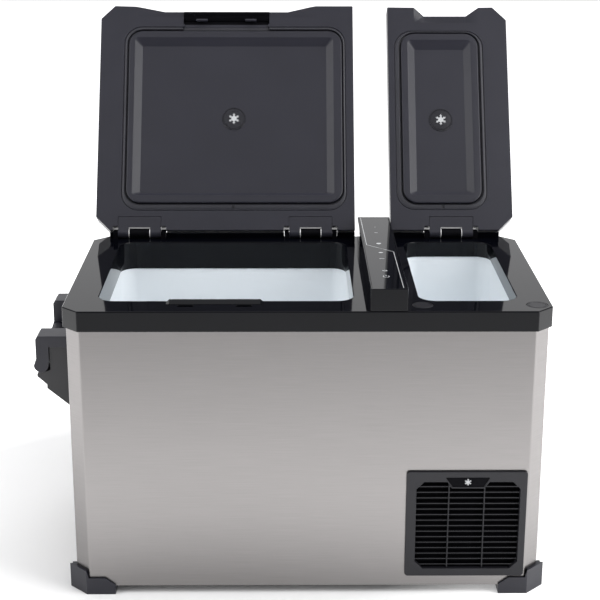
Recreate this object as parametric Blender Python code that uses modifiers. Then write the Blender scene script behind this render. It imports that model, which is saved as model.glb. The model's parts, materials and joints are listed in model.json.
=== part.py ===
"""Two-compartment compressor cooler fridge with hinged lids, stored with both lids open.

Everything is drawn in cabinet coordinates: x = 0 on the cabinet's middle, y = 0 on the rim's
front face, z = 0 on the floor, lids closed and handle hanging. Pivots then carry the moving pieces.
"""

from collections import namedtuple
from math import cos, pi, radians, sin

import bmesh
import bpy
import numpy as np
from mathutils import Matrix, Vector

GAP = 0.0003
# Flat outlines are drawn in millimetres, because filling them merges points that lie too close.
DRAWN = 1000

# Cabinet
WIDTH = 0.690
DEPTH = 0.4065
RIM_TOP = 0.438
RIM_HEIGHT = 0.030
CORNER = 0.023
FOOT_OUT = 0.0065
DECK = 0.004
PLASTIC = 0.003
STEEL_INSET = 0.004
STEEL = 0.0012
STEEL_BOTTOM = 0.0126
BASE_TOP = 0.016
HALF = WIDTH / 2
WALL_X = HALF - STEEL_INSET
STEEL_TOP = RIM_TOP - RIM_HEIGHT - GAP

# Wells, each x0, x1, y0, y1
WELL_MAIN = (-0.2985, 0.066, 0.050, 0.3694)
WELL_SMALL = (0.1595, 0.300, 0.050, 0.369)
WELL_RADIUS = 0.025
COLLAR_MAIN = 0.0448
COLLAR_SMALL = 0.0251
MAGNETS = ((0.162, 0.030), (0.3235, 0.0295))
LINER = 0.0025
LINER_STEP = 0.0015
MAIN_FLOOR = 0.055
SMALL_FLOOR = 0.236
FOAM_TOP = RIM_TOP - COLLAR_MAIN - 0.001
TUBE = 0.004
TUBE_ROOM = 0.0105
BAY = ((0.092, 0.002, 0.010), (0.3394, 0.3995, 0.216))

# Lids
LID_BOTTOM = RIM_TOP + 0.001
LID_TOP = RIM_TOP + 0.0326
LID_SKIN = 0.0045
LID_BACK = 0.003
PANEL_PLATE = 0.0077
TRAY_DEPTH = 0.006
AXIS_Y = 0.3956
AXIS_Z = RIM_TOP + 0.008
LID_OPEN = 119.6
BADGE = 0.0198
CONSOLE = (0.0866, 0.139)

# Hinges
BARREL = 0.0075
KNUCKLE_SPLIT = 0.0185
WASHER = 0.0012
PIN = 0.002
LEAF_FAR = 0.0258
LEAF_NEAR = 0.0085
LEAF = 0.0022
WING = 0.008
HINGE_NOTCH = 0.0095

# Latch
LATCH_X = (-0.2023, -0.0597)
LATCH_S = (0.3702, 0.3860)
LATCH_TRAVEL_ROOM = 0.3634
HOOK_SPREAD = 0.0412
HOOK_HALF = 0.0095
HOOK_BOTTOM = RIM_TOP - 0.0028
KEEPER_X = (-0.200, -0.0625)
KEEPER_Y = (0.0325, 0.0443)
KEEPER_HEIGHT = 0.0043

# Handle on the left end
ARM_PIVOT = (-0.3502, 0.3625)
GRIP_AXIS = (-0.390, 0.326)
ARM_BOSS = 0.0085
GRIP_BOSS = 0.0108
GRIP = 0.0100
ARMS_Y = ((0.090, 0.130), (0.265, 0.305))
ARM_OUTER_X = -0.397
ARM_INNER_X = -0.378

# Openings of the machine bay
INTAKE = (0.143, 0.318, 0.029, 0.1955)
INTAKE_MOUTH = (0.1577, 0.308, 0.0412, 0.179)
INTAKE_RIBS = (0.2052, 0.2567)
INTAKE_BLADES = 15
SLOT_SHARE = 0.58
EXHAUST = (0.060, 0.285, 0.038, 0.200)
POWER = (0.300, 0.372, 0.070, 0.192)
RECESS = (0.150, 0.262, 0.325, 0.365)
FAN_CENTRE = (0.232, 0.112)
FAN_Y = (0.058, 0.082)

PARTS = bpy.data.collections.new("compressor_cooler_fridge")
CUTTERS = bpy.data.collections.new("cutters")

COLOURS = {
    "gloss_black": ((0.012, 0.013, 0.018), 0.12, 0.0),
    "satin_charcoal": ((0.040, 0.040, 0.050), 0.42, 0.0),
    "deep_black": ((0.012, 0.012, 0.014), 0.50, 0.0),
    "rubber_black": ((0.010, 0.010, 0.011), 0.75, 0.0),
    "liner_white": ((0.80, 0.83, 0.85), 0.35, 0.0),
    "washer_white": ((0.78, 0.78, 0.78), 0.50, 0.0),
    "brushed_steel": ((0.42, 0.40, 0.385), 0.32, 1.0),
    "bare_steel": ((0.50, 0.50, 0.50), 0.35, 1.0),
    "copper": ((0.72, 0.36, 0.22), 0.35, 1.0),
    "aluminium": ((0.70, 0.71, 0.72), 0.40, 1.0),
    "foam": ((0.78, 0.70, 0.50), 0.90, 0.0),
    "machine_black": ((0.02, 0.02, 0.022), 0.45, 0.0),
    "board_green": ((0.03, 0.16, 0.07), 0.50, 0.0),
    "badge_grey": ((0.10, 0.10, 0.11), 0.30, 0.0),
}

Hinge = namedtuple("Hinge", "name x0 x1")
Lid = namedtuple("Lid", "name x0 x1 far outer_side notch seal panel tray_rim tray badge hinges")

# Lid rectangles are x0, x1, near, far, with near and far measured forward of the hinge axis.
LEFT_LID = Lid(
    name="left_lid",
    x0=-0.3424,
    x1=0.0825,
    far=0.396,
    outer_side=-1,
    notch=((-0.2855, 0.395), (-0.2356, 0.387), (-0.0271, 0.387), (0.0199, 0.396)),
    seal=(-0.302, 0.0694, 0.0365, 0.3586),
    panel=(-0.2947, 0.0636, 0.050, 0.351),
    tray_rim=(-0.2846, 0.0488, 0.0624, 0.3393),
    tray=(-0.2713, 0.0368, 0.0684, 0.325),
    badge=(-0.1174, 0.1968),
    hinges=(Hinge("hinge_left", -0.3056, -0.2359), Hinge("hinge_middle", -0.0253, 0.0447)),
)
RIGHT_LID = Lid(
    name="right_lid",
    x0=0.1410,
    x1=0.3420,
    far=0.394,
    outer_side=1,
    notch=((0.1857, 0.3935), (0.2033, 0.3805), (0.2746, 0.3806), (0.296, 0.3935)),
    seal=(0.1519, 0.3013, 0.0375, 0.3513),
    panel=(0.1628, 0.2929, 0.0495, 0.3468),
    tray_rim=(0.1744, 0.2804, 0.0632, 0.3351),
    tray=(0.1861, 0.2679, 0.0709, 0.319),
    badge=(0.2279, 0.1949),
    hinges=(Hinge("hinge_right", 0.2051, 0.2759),),
)


# ---------------------------------------------------------------- drawing tools


def clear_scene():
    for obj in list(bpy.data.objects):
        bpy.data.objects.remove(obj, do_unlink=True)
    for collection in (PARTS, CUTTERS):
        bpy.context.scene.collection.children.link(collection)


def make_material(name):
    colour, roughness, metallic = COLOURS[name]
    material = bpy.data.materials.get(name) or bpy.data.materials.new(name)
    material.use_nodes = True
    shader = material.node_tree.nodes["Principled BSDF"]
    shader.inputs["Base Color"].default_value = (*colour, 1.0)
    shader.inputs["Roughness"].default_value = roughness
    shader.inputs["Metallic"].default_value = metallic
    material.diffuse_color = (*colour, 1.0)
    return material


def finish_mesh(name, bm, material):
    """A closed mesh as an object, with its faces pointing out and its round sides smooth."""
    bmesh.ops.recalc_face_normals(bm, faces=bm.faces)
    mesh = bpy.data.meshes.new(name)
    bm.to_mesh(mesh)
    bm.free()
    mesh.materials.append(make_material(material))
    mesh.shade_smooth()
    mesh.set_sharp_from_angle(angle=radians(32))
    obj = bpy.data.objects.new(name, mesh)
    PARTS.objects.link(obj)
    return obj


# Each matrix turns a drawing in u, v with thickness w so that w runs along the named axis.
ALONG = {
    "Z": Matrix.Identity(4),
    "Y": Matrix(((1, 0, 0, 0), (0, 0, 1, 0), (0, 1, 0, 0), (0, 0, 0, 1))),
    "X": Matrix(((0, 0, 1, 0), (1, 0, 0, 0), (0, 1, 0, 0), (0, 0, 0, 1))),
}


def plate(name, outline, low, high, material="deep_black", axis="Z", holes=()):
    """A flat outline with any holes, drawn on the plane across an axis, from low to high along it."""
    curve = bpy.data.curves.new(name, "CURVE")
    curve.dimensions = "2D"
    curve.fill_mode = "BOTH"
    curve.extrude = DRAWN * (high - low) / 2
    for points in (outline, *holes):
        spline = curve.splines.new("POLY")
        spline.points.add(len(points) - 1)
        for point, place in zip(spline.points, points):
            point.co = (DRAWN * place[0], DRAWN * place[1], 0, 1)
        spline.use_cyclic_u = True
    drawing = bpy.data.objects.new(name + "_drawing", curve)
    PARTS.objects.link(drawing)
    graph = bpy.context.evaluated_depsgraph_get()
    mesh = bpy.data.meshes.new_from_object(drawing.evaluated_get(graph))
    bpy.data.objects.remove(drawing)
    bm = bmesh.new()
    bm.from_mesh(mesh)
    bpy.data.meshes.remove(mesh)
    bmesh.ops.scale(bm, vec=(1 / DRAWN, 1 / DRAWN, 1 / DRAWN), verts=bm.verts)
    bmesh.ops.remove_doubles(bm, verts=bm.verts, dist=1e-6)
    bmesh.ops.dissolve_limit(bm, angle_limit=radians(0.5), verts=bm.verts, edges=bm.edges)
    lift = Matrix.Translation((0, 0, (low + high) / 2))
    bmesh.ops.transform(bm, matrix=ALONG[axis] @ lift, verts=bm.verts)
    return finish_mesh(name, bm, material)


def blocks(name, boxes, material="deep_black"):
    """One object of boxes that stay clear of each other. More than one is only for a cutter."""
    bm = bmesh.new()
    for low, high in boxes:
        low = Vector(low)
        high = Vector(high)
        verts = bmesh.ops.create_cube(bm, size=1)["verts"]
        bmesh.ops.scale(bm, vec=high - low, verts=verts)
        bmesh.ops.translate(bm, vec=(low + high) / 2, verts=verts)
    return finish_mesh(name, bm, material)


def block(name, low, high, material="deep_black"):
    return blocks(name, [(low, high)], material)


def rod(name, axis, centre, low, high, radius, material="deep_black", sides=24, end_radius=None):
    """A cylinder or cone along an axis. Its centre gives the two coordinates across that axis."""
    bm = bmesh.new()
    bmesh.ops.create_cone(
        bm,
        cap_ends=True,
        segments=sides,
        radius1=radius,
        radius2=radius if end_radius is None else end_radius,
        depth=high - low,
    )
    bmesh.ops.translate(bm, vec=(*centre, (low + high) / 2), verts=bm.verts)
    bmesh.ops.transform(bm, matrix=ALONG[axis], verts=bm.verts)
    return finish_mesh(name, bm, material)


def combine(obj, other, operation):
    """Cuts another object out of this one, or joins it on."""
    modifier = obj.modifiers.new(other.name, "BOOLEAN")
    modifier.operation = operation
    modifier.solver = "EXACT"
    modifier.object = other
    PARTS.objects.unlink(other)
    CUTTERS.objects.link(other)
    other.hide_render = True
    other.display_type = "WIRE"
    return obj


def cut(obj, *others):
    for other in others:
        combine(obj, other, "DIFFERENCE")
    return obj


def join(obj, *others):
    for other in others:
        combine(obj, other, "UNION")
    return obj


def carry(pivot, *objects):
    """Hangs objects drawn in cabinet coordinates, and what cuts or joins them, on a pivot at rest."""
    for obj in objects:
        obj.parent = pivot
        obj.matrix_parent_inverse = pivot.matrix_world.inverted()
        others = [modifier.object for modifier in obj.modifiers if modifier.type == "BOOLEAN"]
        carry(pivot, *others)


def arc(centre, radius, start, end, steps):
    turns = [radians(start + (end - start) * i / steps) for i in range(steps + 1)]
    return [(centre[0] + radius * cos(a), centre[1] + radius * sin(a)) for a in turns]


def rectangle(rect, radius=0.0, steps=4):
    """The outline x0, x1, y0, y1 with round corners, or with chamfers where steps is 1."""
    x0, x1, y0, y1 = rect
    if not radius:
        return [(x0, y0), (x1, y0), (x1, y1), (x0, y1)]
    corners = (
        (x1 - radius, y1 - radius, 0),
        (x0 + radius, y1 - radius, 90),
        (x0 + radius, y0 + radius, 180),
        (x1 - radius, y0 + radius, 270),
    )
    return [point for x, y, start in corners for point in arc((x, y), radius, start, start + 90, steps)]


def grow(rect, amount):
    x0, x1, y0, y1 = rect
    return (x0 - amount, x1 + amount, y0 - amount, y1 + amount)


def chamfered(inset):
    """The cabinet's plan, moved in from the rim's edge."""
    corner = CORNER - inset * (2 - 2**0.5)
    return rectangle(grow((-HALF, HALF, 0, DEPTH), -inset), corner, steps=1)


def forward(rect):
    """A lid's rectangle, from distances forward of the hinge axis to y."""
    x0, x1, near, far = rect
    return (x0, x1, AXIS_Y - far, AXIS_Y - near)


def turned(name, profile, centre, material, steps=24):
    """A solid of revolution about a vertical axis, from a profile of radius and height, top first."""
    mesh = bpy.data.meshes.new(name)
    points = [(radius, 0, height) for radius, height in profile]
    mesh.from_pydata(points, [(i, i + 1) for i in range(len(points) - 1)], [])
    mesh.materials.append(make_material(material))
    obj = bpy.data.objects.new(name, mesh)
    PARTS.objects.link(obj)
    obj.location = (*centre, 0)
    screw = obj.modifiers.new("turn", "SCREW")
    screw.steps = steps
    screw.render_steps = steps
    screw.use_merge_vertices = True
    screw.merge_threshold = 0.0001
    screw.use_smooth_shade = True
    return obj


def tube(name, points, radius, material):
    """A pipe through the points, with closed ends."""
    curve = bpy.data.curves.new(name, "CURVE")
    curve.dimensions = "3D"
    curve.bevel_depth = radius
    curve.bevel_resolution = 2
    curve.use_fill_caps = True
    curve.materials.append(make_material(material))
    spline = curve.splines.new("POLY")
    spline.points.add(len(points) - 1)
    for point, place in zip(spline.points, points):
        point.co = (*place, 1)
    obj = bpy.data.objects.new(name, curve)
    PARTS.objects.link(obj)
    return obj


# ---------------------------------------------------------------- cabinet


def make_cabinet_shell():
    """The folded steel wrap, with a window for each grille, the power panel and the recessed grip."""
    shell = plate(
        "cabinet_shell",
        chamfered(STEEL_INSET),
        STEEL_BOTTOM,
        STEEL_TOP,
        "brushed_steel",
        holes=[chamfered(STEEL_INSET + STEEL)],
    )
    x0, x1, z0, z1 = grow(INTAKE_MOUTH, 0.004)
    windows = [block("intake_window", (x0, -0.01, z0), (x1, 0.01, z1))]
    for name, rect, margin in (
        ("exhaust_window", EXHAUST, -0.012),
        ("power_window", POWER, -0.006),
        ("recess_window", RECESS, 0.0025),
    ):
        y0, y1, z0, z1 = grow(rect, margin)
        windows.append(block(name, (WALL_X - 0.005, y0, z0), (WALL_X + 0.005, y1, z1)))
    return cut(shell, *windows)


def make_base_pan():
    pan = plate(
        "base_pan",
        chamfered(STEEL_INSET + STEEL + GAP),
        STEEL_BOTTOM + GAP,
        BASE_TOP,
        "bare_steel",
    )
    slots = [((x, 0.150, 0), (x + 0.006, 0.190, 0.03)) for x in np.arange(0.215, 0.300, 0.014)]
    return cut(pan, blocks("pan_slots", slots))


def make_top_rim():
    """The deck with its skirt and the two collars that line the wells' mouths."""
    outline = chamfered(0)
    slots = []
    for side in (-1, 1):
        x = sum(LATCH_X) / 2 + side * HOOK_SPREAD
        slots.append(rectangle((x - HOOK_HALF - 0.0015, x + HOOK_HALF + 0.0015, 0.0232, 0.0320)))
    wells = [rectangle(well, WELL_RADIUS) for well in (WELL_MAIN, WELL_SMALL)]
    deck = plate("top_rim", outline, RIM_TOP - DECK, RIM_TOP, "gloss_black", holes=wells + slots)
    inside = DECK / 2
    skirt = plate(
        "rim_skirt",
        outline,
        RIM_TOP - RIM_HEIGHT,
        RIM_TOP - inside,
        holes=[chamfered(PLASTIC)],
    )
    join(deck, skirt)
    for name, well, drop in (("main", WELL_MAIN, COLLAR_MAIN), ("small", WELL_SMALL, COLLAR_SMALL)):
        collar = plate(
            "collar_" + name,
            rectangle(grow(well, PLASTIC), WELL_RADIUS + PLASTIC),
            RIM_TOP - drop,
            RIM_TOP - inside,
            holes=[rectangle(well, WELL_RADIUS)],
        )
        join(deck, collar)
    for x, y in MAGNETS:
        cut(deck, rod("magnet_seat", "Z", (x, y), RIM_TOP - 0.0023, RIM_TOP + 0.01, 0.0153))
    return deck


def make_magnet_caps():
    return [
        rod("magnet_cap_" + side, "Z", place, RIM_TOP - 0.002, RIM_TOP, 0.015, "deep_black")
        for side, place in zip(("left", "right"), MAGNETS)
    ]


def make_console():
    """The raised bar between the lids, hollow below, with a touch panel let into its top."""
    x0, x1 = CONSOLE
    base = RIM_TOP + GAP
    housing = block("console_housing", (x0, 0, base), (x1, DEPTH, LID_TOP), "gloss_black")
    hollow = block(
        "console_hollow",
        (x0 + PLASTIC, PLASTIC, base - 0.01),
        (x1 - PLASTIC, DEPTH - PLASTIC, LID_TOP - 0.005),
    )
    seat = block(
        "panel_seat",
        (x0 + 0.002, 0.004, LID_TOP - 0.002),
        (x1 - 0.002, 0.4025, LID_TOP + 0.01),
    )
    cut(housing, hollow, seat)
    panel = block(
        "control_panel",
        (x0 + 0.002 + GAP, 0.004 + GAP, LID_TOP - 0.002 + GAP),
        (x1 - 0.002 - GAP, 0.4025 - GAP, LID_TOP),
        "gloss_black",
    )
    return [housing, panel]


def make_latch_keeper():
    """A low ramp on the front of the rim that the latch's hooks ride down."""
    y0, y1 = KEEPER_Y
    base = RIM_TOP + GAP
    profile = [(y0, base), (y1, base), (y1, RIM_TOP + KEEPER_HEIGHT), (y0 + 0.001, base + 0.0006)]
    return plate("latch_keeper", profile, *KEEPER_X, "gloss_black", axis="X")


def make_liner(name, well, collar, floor):
    """A tub hung below a collar, with its lower inside edges rounded."""
    inside = grow(well, LINER_STEP)
    outside = grow(inside, LINER)
    top = RIM_TOP - collar - GAP
    outline = rectangle(outside, WELL_RADIUS + LINER_STEP + LINER)
    tub = plate(name, outline, floor - LINER, top, "liner_white")
    hollow = plate(name + "_hollow", rectangle(inside, WELL_RADIUS + LINER_STEP), floor, top + 0.01)
    rounding = hollow.modifiers.new("cove", "BEVEL")
    rounding.width = 0.012
    rounding.segments = 3
    rounding.limit_method = "ANGLE"
    rounding.angle_limit = radians(60)
    return cut(tub, hollow)


def make_evaporator(name, well, low, high, turns):
    """A copper pipe wound round a liner, rising steadily."""
    path = rectangle(grow(well, LINER_STEP + LINER + TUBE + 0.0016), WELL_RADIUS + 0.010, steps=3)
    count = len(path) * turns
    rise = (high - low) / (count - 1)
    points = [(*path[i % len(path)], low + rise * i) for i in range(count)]
    return tube(name, points, TUBE, "copper")


def make_foam():
    """The insulation, cleared for both liners with their pipes, the machine bay and the grip's cup."""
    foam = plate("foam_insulation", chamfered(STEEL_INSET + STEEL + GAP), BASE_TOP + GAP, FOAM_TOP, "foam")
    outer = LINER_STEP + LINER
    main = rectangle(grow(WELL_MAIN, outer + TUBE_ROOM), WELL_RADIUS + 0.012)
    small = rectangle(grow(WELL_SMALL, outer + TUBE_ROOM), WELL_RADIUS + 0.012)
    low, high = BAY
    y0, y1, z0, z1 = grow(RECESS, 0.004)
    return cut(
        foam,
        plate("foam_well_main", main, MAIN_FLOOR - LINER - GAP, FOAM_TOP + 0.05),
        plate("foam_well_small", small, SMALL_FLOOR - LINER - GAP, FOAM_TOP + 0.05),
        block("foam_bay", low, (high[0] + 0.01, high[1], high[2])),
        block("foam_grip_room", (WALL_X - 0.025, y0, z0), (WALL_X + 0.01, y1, z1)),
    )


# ---------------------------------------------------------------- openings in the cabinet wall


def louvre_slots(name, mouth, rows, ribs, axis):
    """A cutter for the slots between level blades. Ribs split each slot, and the end slots are short."""
    u0, u1, v0, v1 = mouth
    pitch = (v1 - v0) / (rows + 0.5)
    stops = [u0, *ribs, u1]
    slots = []
    for row in range(rows + 1):
        low = v0 + 0.0012 + (row - 0.25 if row else 0) * pitch
        high = min(low + SLOT_SHARE * pitch, v1 - 0.0012)
        end = 0.0122 if row in (0, rows) else 0.0012
        for left, right in zip(stops, stops[1:]):
            a = left + (end if left == u0 else 0.002)
            b = right - (end if right == u1 else 0.002)
            if axis == "Y":
                slots.append(((a, -0.02, low), (b, 0.02, high)))
            else:
                slots.append(((WALL_X - 0.02, a, low), (WALL_X + 0.02, b, high)))
    return blocks(name, slots)


def make_intake_grille():
    """The front grille: a proud frame whose mouth has chamfered corners, and blades set back in it."""
    y_front = 0.0
    border = rectangle(INTAKE, 0.005, steps=2)
    mouth = rectangle(INTAKE_MOUTH, 0.011, steps=1)
    frame = plate(
        "intake_grille", border, y_front, STEEL_INSET - GAP, "satin_charcoal", "Y", [mouth]
    )
    sleeve = rectangle(grow(INTAKE_MOUTH, 0.003), 0.005, steps=1)
    blades = plate("intake_blades", sleeve, 0.003, 0.009, "satin_charcoal", "Y")
    cut(blades, louvre_slots("intake_slots", INTAKE_MOUTH, INTAKE_BLADES, INTAKE_RIBS, "Y"))
    return join(frame, blades)


def make_grille_plaque():
    outline = [(0.2092, 0.1711), (0.2555, 0.1711), (0.2641, 0.1865), (0.1986, 0.1865)]
    return plate("grille_plaque", outline, -0.0018, -GAP, "gloss_black", "Y")


def make_exhaust_grille():
    outside = WALL_X + GAP
    outline = rectangle(EXHAUST, 0.006, steps=2)
    grille = plate("exhaust_grille", outline, outside, outside + 0.003, "satin_charcoal", "X")
    return cut(grille, louvre_slots("exhaust_slots", grow(EXHAUST, -0.016), 11, (0.135, 0.210), "X"))


def make_recessed_grip():
    """A cup let into the right end, with a flange over the steel."""
    y0, y1, z0, z1 = RECESS
    outside = WALL_X + GAP
    flange = plate(
        "recessed_grip",
        rectangle(grow(RECESS, 0.008), 0.008, steps=3),
        outside,
        outside + 0.0025,
        "satin_charcoal",
        "X",
    )
    cup = block(
        "grip_cup",
        (WALL_X - 0.0215, y0 - 0.002, z0 - 0.002),
        (outside + 0.001, y1 + 0.002, z1 + 0.002),
    )
    hollow = block("grip_hollow", (WALL_X - 0.0195, y0, z0), (WALL_X + 0.02, y1, z1))
    join(flange, cup)
    return cut(flange, hollow)


def make_power_inlets():
    """A plate on the right end with a fuse holder, and the round DC socket and AC inlet let into it."""
    outside = WALL_X + GAP
    face = outside + 0.0018
    front = HALF - 0.0006
    y = (POWER[0] + POWER[1]) / 2
    panel = plate("power_panel", rectangle(POWER, 0.006, steps=2), outside, face, "deep_black", "X")
    inlet_hole = (y - 0.015, y + 0.015, 0.108, 0.132)
    holes = (
        rod("socket_hole", "X", (y, 0.163), WALL_X - 0.01, HALF + 0.01, 0.0125),
        plate("inlet_hole", rectangle(inlet_hole), WALL_X - 0.01, HALF + 0.01, axis="X"),
    )
    cut(panel, *holes)
    join(panel, rod("fuse_holder", "X", (y, 0.088), WALL_X - 0.012, front, 0.0072))
    cut(panel, block("fuse_slot", (front - 0.001, y - 0.005, 0.0872), (HALF + 0.01, y + 0.005, 0.0888)))
    socket = rod("dc_socket", "X", (y, 0.163), WALL_X - 0.022, front, 0.0122, "machine_black")
    cut(socket, rod("socket_bore", "X", (y, 0.163), WALL_X - 0.019, HALF + 0.01, 0.0085))
    outline = rectangle(grow(inlet_hole, -GAP))
    bore = rectangle(grow(inlet_hole, -0.003))
    inlet = plate("ac_inlet", outline, WALL_X - 0.020, front, "machine_black", "X")
    cut(inlet, plate("inlet_bore", bore, WALL_X - 0.017, HALF + 0.01, axis="X"))
    return [panel, socket, inlet]


# ---------------------------------------------------------------- machine bay


def make_compressor():
    """The welded pot, with a domed lid and a rounded base, and its tray with a riser under it."""
    floor = BASE_TOP + GAP
    base = 0.026
    profile = [
        (0, 0.168),
        (0.022, 0.166),
        (0.042, 0.157),
        (0.050, 0.143),
        (0.052, 0.128),
        (0.055, 0.126),
        (0.055, 0.122),
        (0.052, 0.120),
        (0.051, 0.045),
        (0.040, base + 0.003),
        (0.030, base),
        (0, base),
    ]
    centre = (0.156, 0.290)
    pot = turned("compressor", profile, centre, "machine_black")
    tray = block("compressor_tray", (0.100, 0.232, floor), (0.212, 0.348, floor + 0.003), "bare_steel")
    join(tray, rod("riser", "Z", centre, floor + 0.001, base - GAP, 0.028))
    return [pot, tray]


def make_condenser():
    """A block of upright fins behind the intake, open toward the front."""
    x0, x1, y0, y1 = 0.162, 0.304, 0.016, 0.044
    fins = 20
    pitch = (x1 - x0) / fins
    thickness = pitch * 0.4
    comb = [(x0, y1), (x1, y1)]
    for i in range(fins, 0, -1):
        right = x0 + i * pitch
        left = right - thickness
        comb += [(right, y0), (left, y0)]
        if i > 1:
            comb += [(left, y1 - 0.006), (right - pitch, y1 - 0.006)]
    return plate("condenser", comb, 0.046, 0.176, "aluminium")


def make_fan():
    """A square frame with a round mouth and a motor seat, and the rotor that turns in it."""
    x, z = FAN_CENTRE
    y0, y1 = FAN_Y
    half = 0.060
    frame = plate(
        "fan_frame",
        rectangle((x - half, x + half, z - half, z + half), 0.006, steps=2),
        y0,
        y1,
        "machine_black",
        "Y",
        [arc((x, z), 0.056, 0, 345, 23)],
    )
    for i in range(3):
        angle = radians(90 + 120 * i)
        strut = block("strut_%d" % i, (-0.003, y1 - 0.003, 0), (0.003, y1 - 0.0005, 0.057))
        turn = Matrix.Translation((x, 0, z)) @ Matrix.Rotation(angle, 4, "Y")
        strut.data.transform(turn)
        join(frame, strut)
    join(frame, rod("motor_seat", "Y", (x, z), y1 - 0.003, y1 - 0.0005, 0.020))
    rotor = rod("fan_rotor", "Y", (x, z), y0 + 0.002, y1 - 0.0035, 0.018, "machine_black", sides=20)
    for i in range(7):
        blade = block("blade_%d" % i, (-0.001, 0.061, 0.012), (0.001, 0.075, 0.053))
        pitch = Matrix.Translation((0, 0.068, 0)) @ Matrix.Rotation(radians(38), 4, "Z")
        pitch = pitch @ Matrix.Translation((0, -0.068, 0))
        around = Matrix.Translation((x, 0, z)) @ Matrix.Rotation(2 * pi * i / 7, 4, "Y")
        blade.data.transform(around @ pitch)
        join(rotor, blade)
    return frame, rotor


def make_control_board():
    low = (0.225, 0.350, 0.040)
    return block("control_board", low, (0.318, 0.378, 0.140), "board_green")


# ---------------------------------------------------------------- feet


def make_foot_mesh():
    """The front left foot: a pad under the corner, and a band that rises round the steel."""
    edge = 0.0005
    x = -HALF - FOOT_OUT
    front_corner = -HALF + CORNER - 0.0023
    front_end = -HALF + 0.063
    side_corner = edge + front_corner - x
    side_end = side_corner + front_end - front_corner
    tall = 0.0373
    low_top = 0.0257
    plan = [
        (front_corner, edge),
        (front_end, edge),
        (front_end, edge + 0.030),
        (x + 0.036, side_end),
        (x, side_end),
        (x, side_corner),
    ]
    foot = plate("foot_pattern", plan, 0, tall, "satin_charcoal")
    body = plate("foot_body_room", chamfered(STEEL_INSET - GAP), STEEL_BOTTOM - GAP, tall + 0.01)
    cut(foot, body)
    for axis, corner, end, low, high in (
        ("Y", front_corner, front_end, -0.01, STEEL_INSET + 0.004),
        ("X", side_corner, side_end, x - 0.01, -WALL_X + 0.004),
    ):
        top = [
            (corner, tall),
            (corner + 0.0032, low_top),
            (corner + 0.0274, low_top),
            (end + 0.001, 0.0140),
            (end + 0.001, tall + 0.01),
            (corner, tall + 0.01),
        ]
        cut(foot, plate("foot_top", top, low, high, axis=axis))
    graph = bpy.context.evaluated_depsgraph_get()
    mesh = bpy.data.meshes.new_from_object(foot.evaluated_get(graph))
    bpy.data.objects.remove(foot)
    return mesh


def make_feet():
    """The four feet, each a mirrored copy of one shape."""
    pattern = make_foot_mesh()
    feet = []
    for end, flip_y in (("front", 1), ("back", -1)):
        for side, flip_x in (("left", 1), ("right", -1)):
            mesh = pattern.copy()
            middle = Matrix.Translation((0, DEPTH / 2, 0))
            mesh.transform(middle @ Matrix.Diagonal((flip_x, flip_y, 1, 1)) @ middle.inverted())
            if flip_x * flip_y < 0:
                mesh.flip_normals()
            foot = bpy.data.objects.new("foot_%s_%s" % (end, side), mesh)
            PARTS.objects.link(foot)
            feet.append(foot)
    return feet


# ---------------------------------------------------------------- lids


def lid_outline(lid):
    """The lid's plan: two chamfered outer corners, a finger notch in front, a notch at each hinge."""
    back = AXIS_Y - LID_BACK
    front = AXIS_Y - lid.far
    notch = [(x, AXIS_Y - far) for x, far in lid.notch]
    rear = []
    for hinge in lid.hinges:
        x0 = hinge.x0 - WING - 0.001
        x1 = hinge.x1 + WING + 0.001
        deep = AXIS_Y - HINGE_NOTCH
        rear += [(x0, back), (x0, deep), (x1, deep), (x1, back)]
    outer = lid.x0 if lid.outer_side < 0 else lid.x1
    inward = outer - lid.outer_side * CORNER
    ends = [(inward, back), (outer, back - CORNER), (outer, front + CORNER), (inward, front)]
    if lid.outer_side < 0:
        return ends + notch + [(lid.x1, front), (lid.x1, back)] + rear[::-1]
    return [(lid.x0, back), (lid.x0, front)] + notch + ends[::-1] + rear[::-1]


def make_lid_shell(lid):
    shell = plate(lid.name + "_shell", lid_outline(lid), LID_BOTTOM, LID_TOP, "satin_charcoal")
    pocket = rectangle(forward(lid.seal), 0.030)
    cut(shell, plate(lid.name + "_pocket", pocket, LID_BOTTOM - 0.01, LID_TOP - LID_SKIN))
    for hinge in lid.hinges:
        cut(
            shell,
            block(
                hinge.name + "_leaf_seat",
                (hinge.x0 - 0.0007, AXIS_Y - LEAF_FAR - 0.0007, LID_BOTTOM - 0.01),
                (hinge.x1 + 0.0007, AXIS_Y, LID_BOTTOM + LEAF + GAP),
            ),
        )
    return shell


def make_lid_panel(lid):
    """The inner panel, whose tray slopes in from its rim to a flat floor."""
    top = LID_BOTTOM + PANEL_PLATE
    outline = rectangle(forward(lid.panel), 0.024)
    panel = plate(lid.name + "_panel", outline, LID_BOTTOM, top, "satin_charcoal")
    rim = forward(lid.tray_rim)
    floor = forward(lid.tray)
    tray = plate(lid.name + "_tray", rectangle(rim, 0.014), LID_BOTTOM, LID_BOTTOM + TRAY_DEPTH)
    for vertex in tray.data.vertices:
        place = vertex.co
        if place.z > LID_BOTTOM + TRAY_DEPTH / 2:
            place.x = np.interp(place.x, rim[:2], floor[:2])
            place.y = np.interp(place.y, rim[2:], floor[2:])
    mouth = plate(lid.name + "_tray_mouth", rectangle(rim, 0.014), LID_BOTTOM - 0.01, LID_BOTTOM + 0.0001)
    return cut(panel, tray, mouth)


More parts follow.
